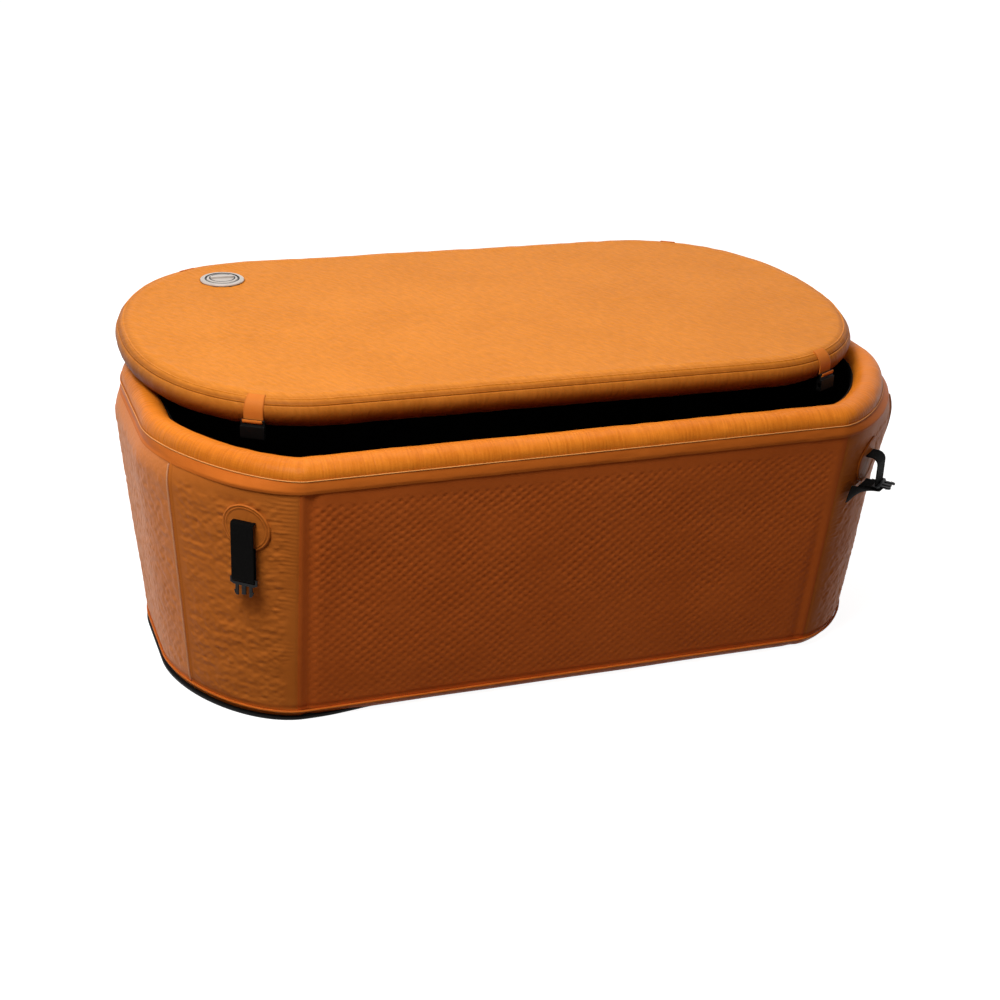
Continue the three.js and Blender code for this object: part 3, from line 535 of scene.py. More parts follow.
# corner: small lumps drawn out into level wrinkles, tight pleats by the fold, a raised welt at the end seam
def cornerRelief(u, v, span, seed):
    fold = span - u
    inside = ease(fold, 0.012, 0.04) * ease(u, 0.010, 0.028)
    inside = inside * ease(v, 0.026, 0.05) * ease(0.487 - v, 0.0, 0.018)
    drift = 0.8 * softNoise(u / 0.05, v / 0.045, seed + 4)
    large, small = cornerFace["lumps"]
    lumps = large * softNoise(u / 0.014 + drift, v / 0.009, seed)
    lumps = lumps + small * softNoise(u / 0.009, v / 0.0068, seed + 1)
    lumps = lumps + cornerFace["wrinkle"] * softNoise(u / 0.05 + 0.3 * drift, v / 0.0085 + drift, seed + 2)
    lumps = lumps + cornerFace["broad"] * softNoise(u / 0.04, v / 0.026, seed + 9)
    relief = (lumps + cornerFace["dimple"] * dimples(u, v, seed + 6, wallLook["lattice"])) * inside
    sway = 0.004 * softNoise(u / 0.03, v / 0.05, seed + 3)
    pleats = np.cos(2 * np.pi * (v + sway) / cornerFace["pleatPitch"])
    pleats = pleats * (0.6 + 0.6 * softNoise(u / 0.05, v / 0.04, seed + 8))
    relief = relief + cornerFace["pleat"] * pleats * bump(fold, 0.026, 0.026) * ease(v, 0.05, 0.3)
    slow = cornerFace["slow"] * softNoise(u / 0.12, v / 0.16, seed + 7) * ease(np.minimum(fold, u), 0.0, 0.05)
    raised = cornerFace["welt"] * bump(u, 0.0035, 0.0026) - cornerFace["foldDip"] * bump(fold, 0.0, 0.004)
    # painted shade in a thin line beside the welt
    return relief + slow + raised, cornerFace["weltShade"] * bump(u, 0.0085, 0.0018) * np.ones_like(v)


backWells = [
    {"x": 0.420, "z": 0.403, "radius": 0.0445, "depth": 0.046},
    {"x": -0.420, "z": 0.093, "radius": 0.0255, "depth": 0.0695},
]


def sunkWells(x, z):  # round wells under the fittings of the back wall, hidden by their flanges
    wells = np.zeros_like(x)
    for well in backWells:
        away = np.hypot(x - well["x"], z - well["z"])
        wells = np.maximum(wells, well["depth"] * ease(well["radius"] - away, 0.0, 0.003))
    return wells


# a panel: rows up the outside with relief along the plan normal, then a plain inside, capped at both seams
def wallPanel(name, legs, reliefOf, steps, material, seed):
    level = wallLevel(wallLook["midHeight"])
    span = spaced(legs, 10, level)[2]
    stations, u, span = spaced(legs, int(span / steps[0]), level)
    rise, footTop = tub["wallTop"] - tub["skinFoot"], wallLook["footTop"]
    footRows = np.linspace(0, footTop, wallLook["footRows"])[:-1]
    z = np.concatenate([footRows, np.linspace(footTop, rise, int((rise - footTop) / steps[1]))])
    z = (z + tub["skinFoot"])[:, None]
    relief, paintedLight = reliefOf(u[None, :], z, span, seed)
    foot = bump(z, wallLook["footHeight"], 0.004)
    relief = relief - wallLook["footDip"] * foot
    depth = tuckAt(stations, z) + wallFace(stations, z) - relief
    if name == "wall_back":
        wells = sunkWells(wallSheet(stations, depth, z[:, 0])[..., 0], z)
        depth = depth * (1 - ease(wells, 0.0, 0.002)) + wells
    outside = wallSheet(stations, depth, z[:, 0])
    inside = wallSheet(stations, np.full((3, 1), tub["wallDepth"]), np.linspace(z[-1, 0], z[0, 0], 3))
    # painted shade over the dip near the foot, joined to each relief's own painted shade and highlight
    paintedLight = np.broadcast_to(np.maximum(paintedLight, wallLook["footShade"] * foot), depth.shape)
    paintedLight = np.vstack([paintedLight, np.zeros((3, len(u)))])
    points = np.concatenate([outside, inside])
    piece = gridMesh(name + "_skin", points, closeRows=True, capColumns=True, paintedLight=paintedLight)
    return dress(piece, material, "tub", "tan_dropstitch", name)


foldStart, foldEnd = tub["panelStart"] - wallLook["lap"], tub["panelEnd"] + wallLook["lap"]
backLegs = [cornerLeg(0, foldEnd, 1), sideLeg(1, 1, -1), cornerLeg(1, 1, foldEnd)]
frontLegs = [cornerLeg(2, foldEnd, 1), sideLeg(-1, -1, 1), cornerLeg(3, 1, foldEnd)]
leftLegs = [cornerLeg(1, foldStart, 0), endLeg(-1, 1, -1), cornerLeg(2, 0, foldStart)]
rightLegs = [cornerLeg(3, foldStart, 0), endLeg(1, -1, 1), cornerLeg(0, 0, foldStart)]
wallPanel("wall_back", backLegs, sideRelief, wallLook["flat"], shadedSideVinyl, 11)
wallPanel("wall_front", frontLegs, sideRelief, wallLook["flat"], shadedSideVinyl, 21)
wallPanel("wall_left_end", leftLegs, endRelief, wallLook["flat"], endVinylSheen, 31)
wallPanel("wall_right_end", rightLegs, endRelief, wallLook["flat"], endVinylSheen, 41)
for index, name in enumerate(cornerNames):
    leg = cornerLeg(index, tub["panelStart"] + wallLook["lap"], tub["panelEnd"] + wallLook["cornerLap"])
    wallPanel("wall_corner_" + name, [leg], cornerRelief, wallLook["corner"], tanVinyl, 51 + 10 * index)

seamCord = {"radius": 0.0017, "lift": 0.0024, "low": 0.030, "high": 0.500, "rows": 120, "sides": 10}


# welt: a thin round cord up each seam between an end and its corners, in pale vinyl that paints a highlight
# along the seam
def seamWelt(corner, name):
    station = np.array([[cornerSigns[corner][0]], [cornerSigns[corner][1]], [tub["panelStart"]]])
    z = np.linspace(seamCord["low"], seamCord["high"], seamCord["rows"])
    depth = tuckAt(station, z[:, None]) + wallFace(station, z[:, None]) - seamCord["lift"]
    middle = wallSheet(station, depth, z)
    outX, outY = pointsAt(wallLevel(wallLook["midHeight"]), station, 0)[2][:, 0]
    angle = np.linspace(0, 2 * np.pi, seamCord["sides"], endpoint=False)
    turnX, turnY = outX * np.cos(angle) - outY * np.sin(angle), outY * np.cos(angle) + outX * np.sin(angle)
    points = middle + seamCord["radius"] * np.stack([turnX, turnY, 0 * angle], axis=1)
    piece = gridMesh("seam_welt_" + name, points, closeColumns=True, capRows=True)
    dress(piece, weltHighlightVinyl, "tub", "tan_tape")


for index, name in enumerate(cornerNames):
    seamWelt(index, name)
print("wall panels made")

# rim, tape, piping, base and liner

rim = {
    "columns": 2700, "rows": 33, "rise": 0.032, "skirt": 0.0157, "lap": 0.001,
    "creases": 520, "creaseDepth": 0.00028, "creaseWidth": 0.0014, "creaseLean": 0.006, "creaseShade": 0.06,
    "slowCells": 44, "slowSwell": 0.0008, "quickCells": 150, "quickSwell": 0.0005,
}
loopLevel = wallLevel(tub["seamHeight"])


# closed ring: the section's depth and height at each row, carried round all stations
def ringPiece(name, stations, depth, z, paintedLight=None, sharp=50, uv=None):
    depth, z = np.broadcast_arrays(depth, z)
    x, y, _ = pointsAt(wallLevel(z), np.broadcast_to(stations[:, None, :], (3, *z.shape)), depth)
    points = np.stack([x, y, z], axis=-1)
    return gridMesh(name, points, closeRows=True, closeColumns=True, paintedLight=paintedLight, sharp=sharp, uv=uv)


def ringNoise(u, length, cells, across, seed):  # soft noise whose cells close up round a ring
    return softNoise(u[None, :] / length * cells, across, seed, wrap=cells)


# rim roll: half an ellipse between its two edges, cut by fine creases across it that lean and fade
def rimRoll():
    stations, u, length = spaced(wholeLoop, rim["columns"], loopLevel, closed=True)
    angle = np.linspace(0, np.pi, rim["rows"])
    dice, count = np.random.default_rng(5), rim["creases"]
    places = dice.uniform(0, length, count)
    leans = dice.normal(0, rim["creaseLean"], count)
    middles = dice.uniform(0.1, 2.4, count)
    spreads = dice.uniform(0.25, 0.8, count)
    depths = dice.uniform(0.3, 1.0, count) ** 1.5
    dent = np.zeros((rim["rows"], rim["columns"]))
    for i in range(count):
        away = u[None, :] - places[i] - leans[i] * (angle[:, None] - middles[i])
        away = (away + length / 2) % length - length / 2
        dent += depths[i] * bump(away, 0, rim["creaseWidth"]) * bump(angle[:, None], middles[i], spreads[i])
    slow = ringNoise(u, length, rim["slowCells"], angle[:, None] * 1.2, 61)
    quick = ringNoise(u, length, rim["quickCells"], angle[:, None] * 2.0, 62)
    swell = rim["slowSwell"] * slow + rim["quickSwell"] * quick - rim["creaseDepth"] * dent
    swell = swell * ease(np.sin(angle), 0.0, 0.25)[:, None]
    outer, inner = rimOuter(stations), tub["rimInner"]
    depth = (outer + inner) / 2 - ((inner - outer) / 2 + swell) * np.cos(angle)[:, None]
    z = tub["seamHeight"] + (rim["rise"] + swell) * np.sin(angle)[:, None]
    wallEdge = wallFace(stations, tub["wallTop"])
    footDepth = np.stack([np.full_like(u, tub["wallDepth"] - rim["lap"]), wallEdge + rim["lap"]])
    footZ = np.full_like(footDepth, tub["seamHeight"] - rim["skirt"])
    # painted shade in the creases
    paintedLight = np.vstack([rim["creaseShade"] * np.clip(dent, 0, 1), np.zeros_like(footZ)])
    across = np.concatenate([angle * rim["rise"], [0, 0]])[:, None] * np.ones_like(u)
    uv = np.stack([np.broadcast_to(u, across.shape), across], axis=-1)
    depth, z = np.vstack([depth, footDepth]), np.vstack([z, footZ])
    piece = ringPiece("rim_roll_skin", stations, depth, z, paintedLight, uv=uv)
    dress(piece, rimVinyl, "tub", "tan_vinyl", "rim_roll")


rimRoll()

tape = {
    "columns": 1400, "bottom": 0.502, "top": 0.528, "gap": 0.0007, "thickness": 0.0009, "crown": 0.0007,
    "bead": 0.0010, "beadPlace": 0.955, "beadShine": 0.8, "footShade": 0.2, "backShade": 0.6,
    "ripple": 0.0003, "rippleCells": 120,
}


# tape band: up the wall, in over the skirt and up the foot of the roll, with a bead on its top edge
def tapeBand():
    stations, u, length = spaced(wholeLoop, tape["columns"], loopLevel, closed=True)
    up = np.concatenate([np.linspace(0, 0.78, 12), np.linspace(0.80, 1, 14)])[:, None]
    z = tape["bottom"] + (tape["top"] - tape["bottom"]) * up + 0 * u
    share = np.clip((z - tub["wallTop"]) / (tub["seamHeight"] - tub["wallTop"]), 0, 1)
    outer, inner = rimOuter(stations), tub["rimInner"]
    lift = np.clip((z - tub["seamHeight"]) / rim["rise"], 0, 1)
    wallEdge = wallFace(stations, tub["wallTop"])
    back = wallFace(stations, np.minimum(z, tub["wallTop"])) + (outer - wallEdge) * share
    back = back + (inner - outer) / 2 * (1 - np.sqrt(1 - lift ** 2)) - tape["gap"]
    ripple = tape["ripple"] * ringNoise(u, length, tape["rippleCells"], 3 * up, 71)
    crown = tape["crown"] * ease(1 - up, 0.02, 0.5) * ease(up, -0.2, 0.5)
    face = tape["thickness"] + crown + tape["bead"] * bump(up, tape["beadPlace"], 0.04)
    depth = np.vstack([back - face - ripple, back[::-1]])
    # painted shade at the band's foot and over its back face, and a painted highlight along the bead
    shade = tape["footShade"] * bump(up, 0.0, 0.04) - tape["beadShine"] * bump(up, tape["beadPlace"], 0.05)
    paintedLight = np.vstack([shade + 0 * u, np.full(z.shape, tape["backShade"])])
    piece = ringPiece("rim_seam_tape_band", stations, depth, np.vstack([z, z[::-1]]), paintedLight, 60)
    dress(piece, tapeVinyl, "tub", "tan_tape", "rim_seam_tape")


tapeBand()

piping = {
    "columns": 1200, "sides": 12, "radius": 0.0026, "height": 0.022, "press": 1.02, "shade": 0.12,
    "wobble": 0.06, "wobbleCells": 300, "wobbleWrap": 44,
}


# piping: a round cord lying against the tucked lower edge
def footPiping():
    stations, u, length = spaced(wholeLoop, piping["columns"], wallLevel(piping["height"]), closed=True)
    angle = np.linspace(0, 2 * np.pi, piping["sides"], endpoint=False)[:, None]
    radius, height = piping["radius"], piping["height"]
    tuck = tuckAt(stations, height)[None, :]
    slope = (tuckAt(stations, height - 0.001)[None, :] - tuck) / 0.001
    centre = tuck - piping["press"] * radius * np.sqrt(1 + slope ** 2)
    places = u[None, :] / length * piping["wobbleCells"]
    wobble = 1 + piping["wobble"] * softNoise(places, angle * 0, 81, wrap=piping["wobbleWrap"])
    depth = centre + radius * wobble * np.cos(angle)
    z = height + radius * wobble * np.sin(angle)
    piece = ringPiece("foot_piping_cord", stations, depth, z, np.full(z.shape, piping["shade"]))
    dress(piece, tapeVinyl, "tub", "tan_tape", "foot_piping")


footPiping()


base = {
    "columns": 700, "shownFrom": 0.50, "hiddenFrom": 0.34, "proud": 0.010, "behind": 0.006, "tuckHeight": 0.004,
    "height": [0.0, 0.0, 0.0004, 0.002, 0.005, 0.0076, 0.008, 0.008],
    "inset": [0.03, 0.004, 0.0016, 0.0004, 0.0, 0.0004, 0.0014, 0.03],
}


# base: a thin black pan; its rounded rim stands proud of the walls at the left end, behind them elsewhere
def baseSkin():
    stations, _, _ = spaced(wholeLoop, base["columns"], wallLevel(0), closed=True)
    shown = ease(-pointsAt(wallLevel(0), stations, 0)[0], base["hiddenFrom"], base["shownFrom"])
    edge = tuckAt(stations, base["tuckHeight"]) + base["behind"] - (base["behind"] + base["proud"]) * shown
    points = wallSheet(stations, edge + np.array(base["inset"])[:, None], np.array(base["height"]))
    piece = gridMesh("base_skin_pan", points, closeColumns=True, capRows=True)
    dress(piece, blackVinyl, "tub", "black_vinyl", "base_skin")


baseSkin()

liner = {
    "columns": 580, "outside": 0.07235, "thickness": 0.003, "gap": 0.00035, "floor": 0.0586, "lipTop": 0.534,
    "wallTop": 0.496, "wallRows": 60, "folds": 90, "foldDepth": 0.0022, "floorRows": 34, "floorWave": 0.0012,
}


# liner: up the outside, over a rounded lip, down the inside and over the floor, which shrinks to its middle
def innerLiner():
    stations, u, length = spaced(wholeLoop, liner["columns"], loopLevel, closed=True)
    wallZ = np.linspace(liner["floor"], liner["wallTop"], liner["wallRows"])
    thick, top, floorTop = liner["thickness"], liner["lipTop"], liner["floor"] + liner["thickness"]
    outer = [(0, z, 0) for z in wallZ] + [(0, 0.512, 1), (0, top - 0.002, 1)]
    lip = [(0.0006, top - 0.0004, 1), (0.0015, top, 1), (thick, top - 0.0015, 1)]
    inner = [(thick, 0.514, 1)] + [(thick, z, 0) for z in wallZ[:0:-1]]
    corner = [(thick + 0.002, floorTop + 0.003, 0), (thick + 0.006, floorTop, 0)]
    depth, z, lipped = np.array(outer + lip + inner + corner).T
    flare = tub["rimInner"] + liner["gap"] - liner["outside"]
    depth = liner["outside"] + depth[:, None] + lipped[:, None] * flare
    fold = ringNoise(u, length, liner["folds"], z[:, None] / 0.10, 91)
    showing = np.arange(len(depth)) > len(outer) + 3
    inside = ease(z, 0.07, 0.14) * ease(0.5 - z, 0, 0.05) * showing
    swell = liner["foldDepth"] * fold * inside[:, None]
    sides = wallSheet(stations, depth + np.abs(swell), z)
    scale = np.linspace(0.96, 0.02, liner["floorRows"])[:, None]
    floorX, floorY = sides[-1, :, 0] * scale, sides[-1, :, 1] * scale
    wave = liner["floorWave"] * softNoise(floorX / 0.05, floorY / 0.05, 93) * ease(1 - scale, 0.0, 0.1)
    points = np.concatenate([sides, np.stack([floorX, floorY, z[-1] + wave], axis=-1)])
    piece = gridMesh("inner_liner_skin", points, closeColumns=True, capRows=True)
    dress(piece, blackVinyl, "tub", "black_vinyl", "inner_liner", "floor_pad")


innerLiner()
print("rim, tape, piping, base and liner made")

# lid

lid = {
    "level": {"length": 1.537, "width": 0.883, "cornerLength": 0.332, "cornerWidth": 0.430, "round": 0.77},
    "half": 0.030, "seamRise": 0.017, "lip": 0.46, "spine": 0.56,
    "columns": 740, "topRows": 82, "bottomRows": 8,
    "place": (0.002, 0.140, 0.5863), "turn": -0.022, "valve": (-0.509, 0.295),
    "notchDepth": 0.0016, "lipBead": 0.0016,
    "puckerCells": 170, "pucker": 0.0007, "slowCells": 60, "slow": 0.0006,
    "dimple": 0.00030, "lattice": (0.024, 0.022), "wave": 0.0007, "fingerCells": 190, "finger": 0.0008,
    "ridge": 0.0008, "wellRadius": 0.0455, "wellDepth": 0.046, "wellBorder": 0.06,
    "underShade": (0.2, 0.65), "bandShade": 0.5, "shoulderShade": 0.22, "lipShine": 0.9, "seamShade": 0.8,
    "bottomShade": 0.85,
}
lidMatrix = Matrix.Translation(lid["place"]) @ Matrix.Rotation(lid["turn"], 4, "Z")


def placed(points, matrix):  # points turned and moved by a matrix
    turned = np.array(matrix)[:3, :3]
    return points @ turned.T + np.array(matrix)[:3, 3]


# lid: flat top and bottom that shrink to a middle line, joined by a half-round edge with a seam notch;
# the top has weak dimples, a ridge where the edge starts, and short puckers running in from it
def inflatedLid():
    stations, u, length = spaced(wholeLoop, lid["columns"], lid["level"], closed=True)
    flatX, flatY, normal = pointsAt(lid["level"], stations, lid["half"])
    half, spineX = lid["half"], flatX * lid["spine"]
    seam = math.asin(lid["seamRise"] / half)
    lip = seam + lid["lip"]
    low = np.linspace(-np.pi / 2, seam - 0.10, 15)
    notch = seam + np.array([-0.06, -0.03, 0.0, 0.03, 0.06])
    high = np.concatenate([np.linspace(seam + 0.10, lip - 0.1, 5), lip + np.linspace(-0.07, 0.10, 8),
                           np.linspace(lip + 0.15, np.pi / 2, 6)])
    angle = np.concatenate([low, notch, high])
    pucker = ringNoise(u, length, lid["puckerCells"], angle[:, None] * 0.8, 101)
    slow = ringNoise(u, length, lid["slowCells"], angle[:, None], 102)
    section = half - lid["notchDepth"] * bump(angle, seam, 0.035) + lid["lipBead"] * bump(angle, lip, 0.04)
    swell = (lid["pucker"] * pucker + lid["slow"] * slow) * ease(np.cos(angle), 0.0, 0.5)[:, None]
    radius = section[:, None] + swell
    out = radius * np.cos(angle)[:, None]
    edgeX, edgeY = flatX + normal[0] * out, flatY + normal[1] * out
    edge = np.stack([edgeX, edgeY, radius * np.sin(angle)[:, None]], axis=-1)
    shrink = np.linspace(1, 0.006, lid["topRows"] + 1)[1:, None]
    topX, topY = spineX + (flatX - spineX) * shrink, flatY * shrink
    inward = (1 - shrink) * np.hypot(flatX * (1 - lid["spine"]), flatY)
    relief = lid["dimple"] * dimples(topX, topY, 111, lid["lattice"]) * ease(inward, 0.012, 0.04)
    relief = relief + lid["wave"] * softNoise(topX / 0.2, topY / 0.16, 115) * ease(inward, 0.0, 0.08)
    fingers = ringNoise(u, length, lid["fingerCells"], inward / 0.05, 116)
    relief = relief + lid["finger"] * fingers * bump(inward, 0.010, 0.022)
    relief = relief + lid["ridge"] * bump(inward, 0.005, 0.0075)
    away = np.hypot(topX - lid["valve"][0], topY - lid["valve"][1])
    well = lid["wellDepth"] * ease(lid["wellRadius"] - away, 0.0, 0.0055)
    topZ = half + relief * (1 - ease(lid["wellBorder"] - away, 0.0, 0.012)) - well
    top = np.stack([topX, topY, topZ], axis=-1)
    flatShape = (lid["bottomRows"], len(u))
    below = np.linspace(0.03, 1, lid["bottomRows"] + 1)[:-1, None]
    bottom = np.stack([spineX + (flatX - spineX) * below, flatY * below, np.full(flatShape, -half)], axis=-1)
    # painted shade by the edge's angle: under the seam, over the band and shoulder, a dark line in the seam
    # notch and over the whole bottom; a painted highlight on the lip bead
    under = (lid["underShade"][0] + lid["underShade"][1] * ease(-angle, -0.55, 0.30)) * (angle < seam)
    band = lid["bandShade"] * ease(angle, seam + 0.06, seam + 0.10) * ease(lip - angle, 0.0, 0.3)
    shoulder = lid["shoulderShade"] * ease(angle, lip + 0.03, lip + 0.08) * ease(np.pi / 2 - angle, 0.0, 0.42)
    shaded = under + band + shoulder - lid["lipShine"] * bump(angle, lip, 0.05)
    shaded = np.maximum(shaded, lid["seamShade"] * bump(angle, seam, 0.035))[:, None] * np.ones_like(u)
    paintedLight = np.vstack([np.full(flatShape, lid["bottomShade"]), shaded, np.zeros_like(inward)])
    points = placed(np.concatenate([bottom, edge, top]), lidMatrix)
    piece = gridMesh("lid_cushion", points, closeColumns=True, capRows=True, paintedLight=paintedLight, sharp=60)
    dress(piece, lidVinyl, "lid", "tan_dropstitch", "lid_core", "lid_top_skin", "lid_bottom_skin")


inflatedLid()
print("lid made")

# straps

strap = {
    "station": 0.66, "height": 0.436, "width": 0.046, "thickness": 0.0022, "standoff": 0.014,
    "length": 0.112, "tail": 0.062, "wrap": 0.0042784, "root": 0.0029,
    "bend": 0.005, "bowReach": 0.015, "bowDrop": 0.060, "bowTail": 0.074,
    "tailTwist": 66, "tailStandoff": 0.003, "foldLap": 0.0004, "lapEnd": 0.006,
}


def edgeFrame(level, corner, t, z):  # x along the outline, y outward, z up, standing on the outline
    x, y, normalX, normalY = outlineAt(level, np.array(t))
    signX, signY = cornerSigns[corner]
    outX, outY = float(normalX * signX), float(normalY * signY)
    return Matrix((
        (outY, outX, 0, float(x * signX)), (-outX, outY, 0, float(y * signY)), (0, 0, 1, z), (0, 0, 0, 1)))


# distance of the leaning wall in front of a strap's frame, by halving the corner curve until x fits
def wallReach(corner, x, z):
    signs = np.array(cornerSigns[corner])
    matrix = np.array(edgeFrame(wallLevel(strap["height"]), corner, strap["station"], strap["height"]))
    level = wallLevel(strap["height"] + z)
    sense = -signs[0] * signs[1]
    low, high = np.zeros_like(x), np.ones_like(x)
    for _ in range(26):
        t = (low + high) / 2
        planX, planY = cornerCurve(level, t)
        offX, offY = planX * signs[0] - matrix[0, 3], planY * signs[1] - matrix[1, 3]
        before = (offX * matrix[0, 0] + offY * matrix[1, 0] - x) * sense < 0
        low, high = np.where(before, t, low), np.where(before, high, t)
    return offX * matrix[0, 1] + offY * matrix[1, 1]


def arc(y, z, radius, start, end, steps):  # points in the plane of out and up, degrees from out
    angle = np.radians(np.linspace(start, end, steps))
    return np.stack([np.zeros(steps), y + radius * np.cos(angle), z + radius * np.sin(angle)], axis=1)


def evenPath(points, step):  # a path cut into even steps of its own length
    run = np.concatenate([[0], np.cumsum(np.linalg.norm(np.diff(points, axis=0), axis=1))])
    picks = np.linspace(0, run[-1], max(int(run[-1] / step), 4))
    return np.stack([np.interp(picks, run, points[:, i]) for i in range(3)], axis=1), picks


# ribbon: a flat section with rounded edges, slightly thicker at the selvedges, carried along a path
def ribbonGrid(path, run, across, width, thickness):
    along = np.gradient(path, axis=0)
    along /= np.linalg.norm(along, axis=1, keepdims=True)
    across = across - along * (across * along).sum(axis=1, keepdims=True)
    across /= np.linalg.norm(across, axis=1, keepdims=True)
    face = np.cross(along, across)
    half, lift = np.broadcast_to(width, run.shape)[:, None] / 2, thickness / 2
    places = np.array([-1, -0.985, -0.9, -0.8, -0.4, 0, 0.4, 0.8, 0.9, 0.985, 1])
    heights = np.array([0.25, 0.8, 1.06, 0.96, 1, 1, 1, 0.96, 1.06, 0.8, 0.25]) * lift
    a = np.concatenate([places, places[::-1]])
    b = np.concatenate([heights, -heights[::-1]])
    grid = path[:, None] + across[:, None] * (half * a)[..., None] + face[:, None] * b[None, :, None]
    uv = np.stack([np.broadcast_to(run[:, None], grid.shape[:2]), half * a * np.ones(grid.shape[:2])], axis=-1)
    return grid, uv


patch = {
    "radius": 0.048, "thickness": 0.0022, "drop": 0.014,
    "bead": 0.0009, "beads": (0.845, 0.95), "beadWidth": 0.024,
    "lift": 0.00035, "pucker": 0.0004, "puckers": 40, "sides": 96, "backShade": 0.4,
    "rings": [0.01, 0.2, 0.4, 0.62, 0.75, 0.80, 0.825, 0.845, 0.865, 0.885, 0.91, 0.93, 0.95, 0.97, 0.985, 1],
}


# patch: a disc on the wall with two raised rings near its edge, which rounds down to the wall
def strapPatch(corner, name, matrix):
    ring = np.array(patch["rings"])
    first, second = patch["beads"]
    beads = bump(ring, first, patch["beadWidth"]) + 1.2 * bump(ring, second, patch["beadWidth"])
    height = patch["thickness"] + patch["bead"] * beads
    height = height * np.sqrt(np.clip(1 - ((ring - second) / 0.058) ** 2 * (ring > second), 0, 1))
    ring, height = np.append(ring, [0.98, 0.6, 0.01]), np.append(height, [0, 0, 0])
    r = ring * patch["radius"]
    angle = np.linspace(0, 2 * np.pi, patch["sides"], endpoint=False)
    x = r[:, None] * np.cos(angle)
    z = r[:, None] * np.sin(angle) - patch["drop"]
    pucker = patch["pucker"] * ringNoise(angle, 2 * np.pi, patch["puckers"], ring[:, None] / 0.2, 121 + corner)
    y = wallReach(corner, x, z) + patch["lift"] + height[:, None] + pucker * (height[:, None] > 0.001)
    # painted shade in rings beside the raised beads, and over the hidden back
    paintedLight = 0.45 * bump(ring, 0.897, 0.022) + 0.25 * bump(ring, 0.795, 0.022)
    paintedLight[len(patch["rings"]) - 1:] = patch["backShade"]
    paintedLight = paintedLight[:, None] * np.ones_like(angle)
    points = placed(np.stack([x, y, z], axis=-1), matrix)
    piece = gridMesh("strap_patch_disc_" + name, points, closeColumns=True, capRows=True,
                     paintedLight=paintedLight, sharp=70)
    dress(piece, tanVinyl, "tub", "tan_vinyl", "strap_patch_" + name)


def webPiece(name, path, run, across, matrix):  # the strap's section carried along a path of its own frame
    grid, uv = ribbonGrid(path, run, across, strap["width"], strap["thickness"])
    return gridMesh(name, placed(grid, matrix), closeColumns=True, capRows=True, uv=uv, sharp=60)


# sewn strap: webbing along a path from one point to the other, with a bend at its root by the tub
def sewnStrap(name, points, step, matrix):
    path, run = evenPath(points, step)
    piece = webPiece("strap_web_" + name, path, run, np.tile([1.0, 0, 0], (len(path), 1)), matrix)
    piece.data.materials.append(blackWebbing)
    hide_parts("strap_anchor_" + name, "strap_" + name)
    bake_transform(piece)


# hanging strap: out from the patch, a quarter turn down, half a turn round the bar and back up as the tail
def hangingStrap(name, matrix):
    out, wrap, drop, bend = strap["standoff"], strap["wrap"], -strap["length"], strap["bend"]
    points = np.concatenate([
        [[0, strap["root"], 0.0]], [[0, out - 0.006, 0.0]], arc(out - bend, -bend, bend, 90, 0, 12),
        arc(out - wrap, drop, wrap, 0, -180, 24), [[0, out - 2 * wrap, drop + strap["tail"]]]])
    sewnStrap(name, points, 0.0022, matrix)


# bowed strap: a wide quarter turn, a quarter turn round the bar, then a tail along the wall that twists
# from flat to upright between the strap's edge and its end
def bowedStrap(corner, name, matrix):
    out, wrap, reach, drop = strap["standoff"], strap["wrap"], strap["bowReach"], -strap["bowDrop"]
    points = np.concatenate([
        [[0, strap["root"], 0.0]], arc(out, -reach, reach, 90, 0, 24),
        arc(out + reach - wrap, drop, wrap, 0, -90, 16), [[0, out - strap["lapEnd"], drop - wrap]]])
    sewnStrap(name, points, 0.002, matrix)
    half = strap["width"] / 2
    x = np.linspace(-half, strap["bowTail"], 60)
    z = np.full_like(x, drop - wrap - strap["thickness"] + strap["foldLap"])
    turn = np.radians(strap["tailTwist"]) * np.clip((x - half) / (strap["bowTail"] - half), 0, 1)
    y = wallReach(corner, x, z) + strap["tailStandoff"] + half * np.cos(turn)
    across = np.stack([np.zeros_like(x), np.cos(turn), np.sin(turn)], axis=1)
    tail = webPiece("strap_tail_" + name, np.stack([x, y, z], axis=1), x - x[0], across, matrix)
    dress(tail, blackWebbing, "strap_" + name, "black_webbing")


def softened(node, width, material, body, slot):  # the solid's own shape with its edges rounded
    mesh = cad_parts[node].data.copy()
    mesh.name = node + "_moulding"
    work = bmesh.new()
    work.from_mesh(mesh)
    bmesh.ops.remove_doubles(work, verts=work.verts, dist=1e-6)
    bmesh.ops.dissolve_limit(work, angle_limit=math.radians(1), verts=work.verts, edges=work.edges)
    work.to_mesh(mesh)
    work.free()
    piece = addObject(node + "_moulding", mesh)
    rounding = piece.modifiers.new("rounding", "BEVEL")
    rounding.width = width
    rounding.segments = 2
    rounding.limit_method = "ANGLE"
    rounding.angle_limit = math.radians(35)
    rounding.use_clamp_overlap = True
    mesh.set_sharp_from_angle(angle=math.radians(40))
    return dress(piece, material, body, slot, node)


for index, name in enumerate(cornerNames):
    strapFrame = edgeFrame(wallLevel(strap["height"]), index, strap["station"], strap["height"])
    strapPatch(index, name, strapFrame)
    if name == "front_right":
        bowedStrap(index, name, strapFrame)
    else:
        hangingStrap(name, strapFrame)
    softened("buckle_" + name, 0.0006, blackPlastic, "buckle_" + name, "black_plastic")
    softened("buckle_socket_" + name, 0.0006, socketPlastic, "socket_" + name, "black_plastic")
print("straps and buckles made")

# lid tabs

tab = {
    "station": 0.72, "width": 0.038, "rootWidth": 0.034, "rootLength": 0.034, "thickness": 0.002,
    "reach": 0.00135, "wrap": 0.00417843, "drop": 0.012, "rise": 72, "hook": 400, "stitchShade": 0.5,
}


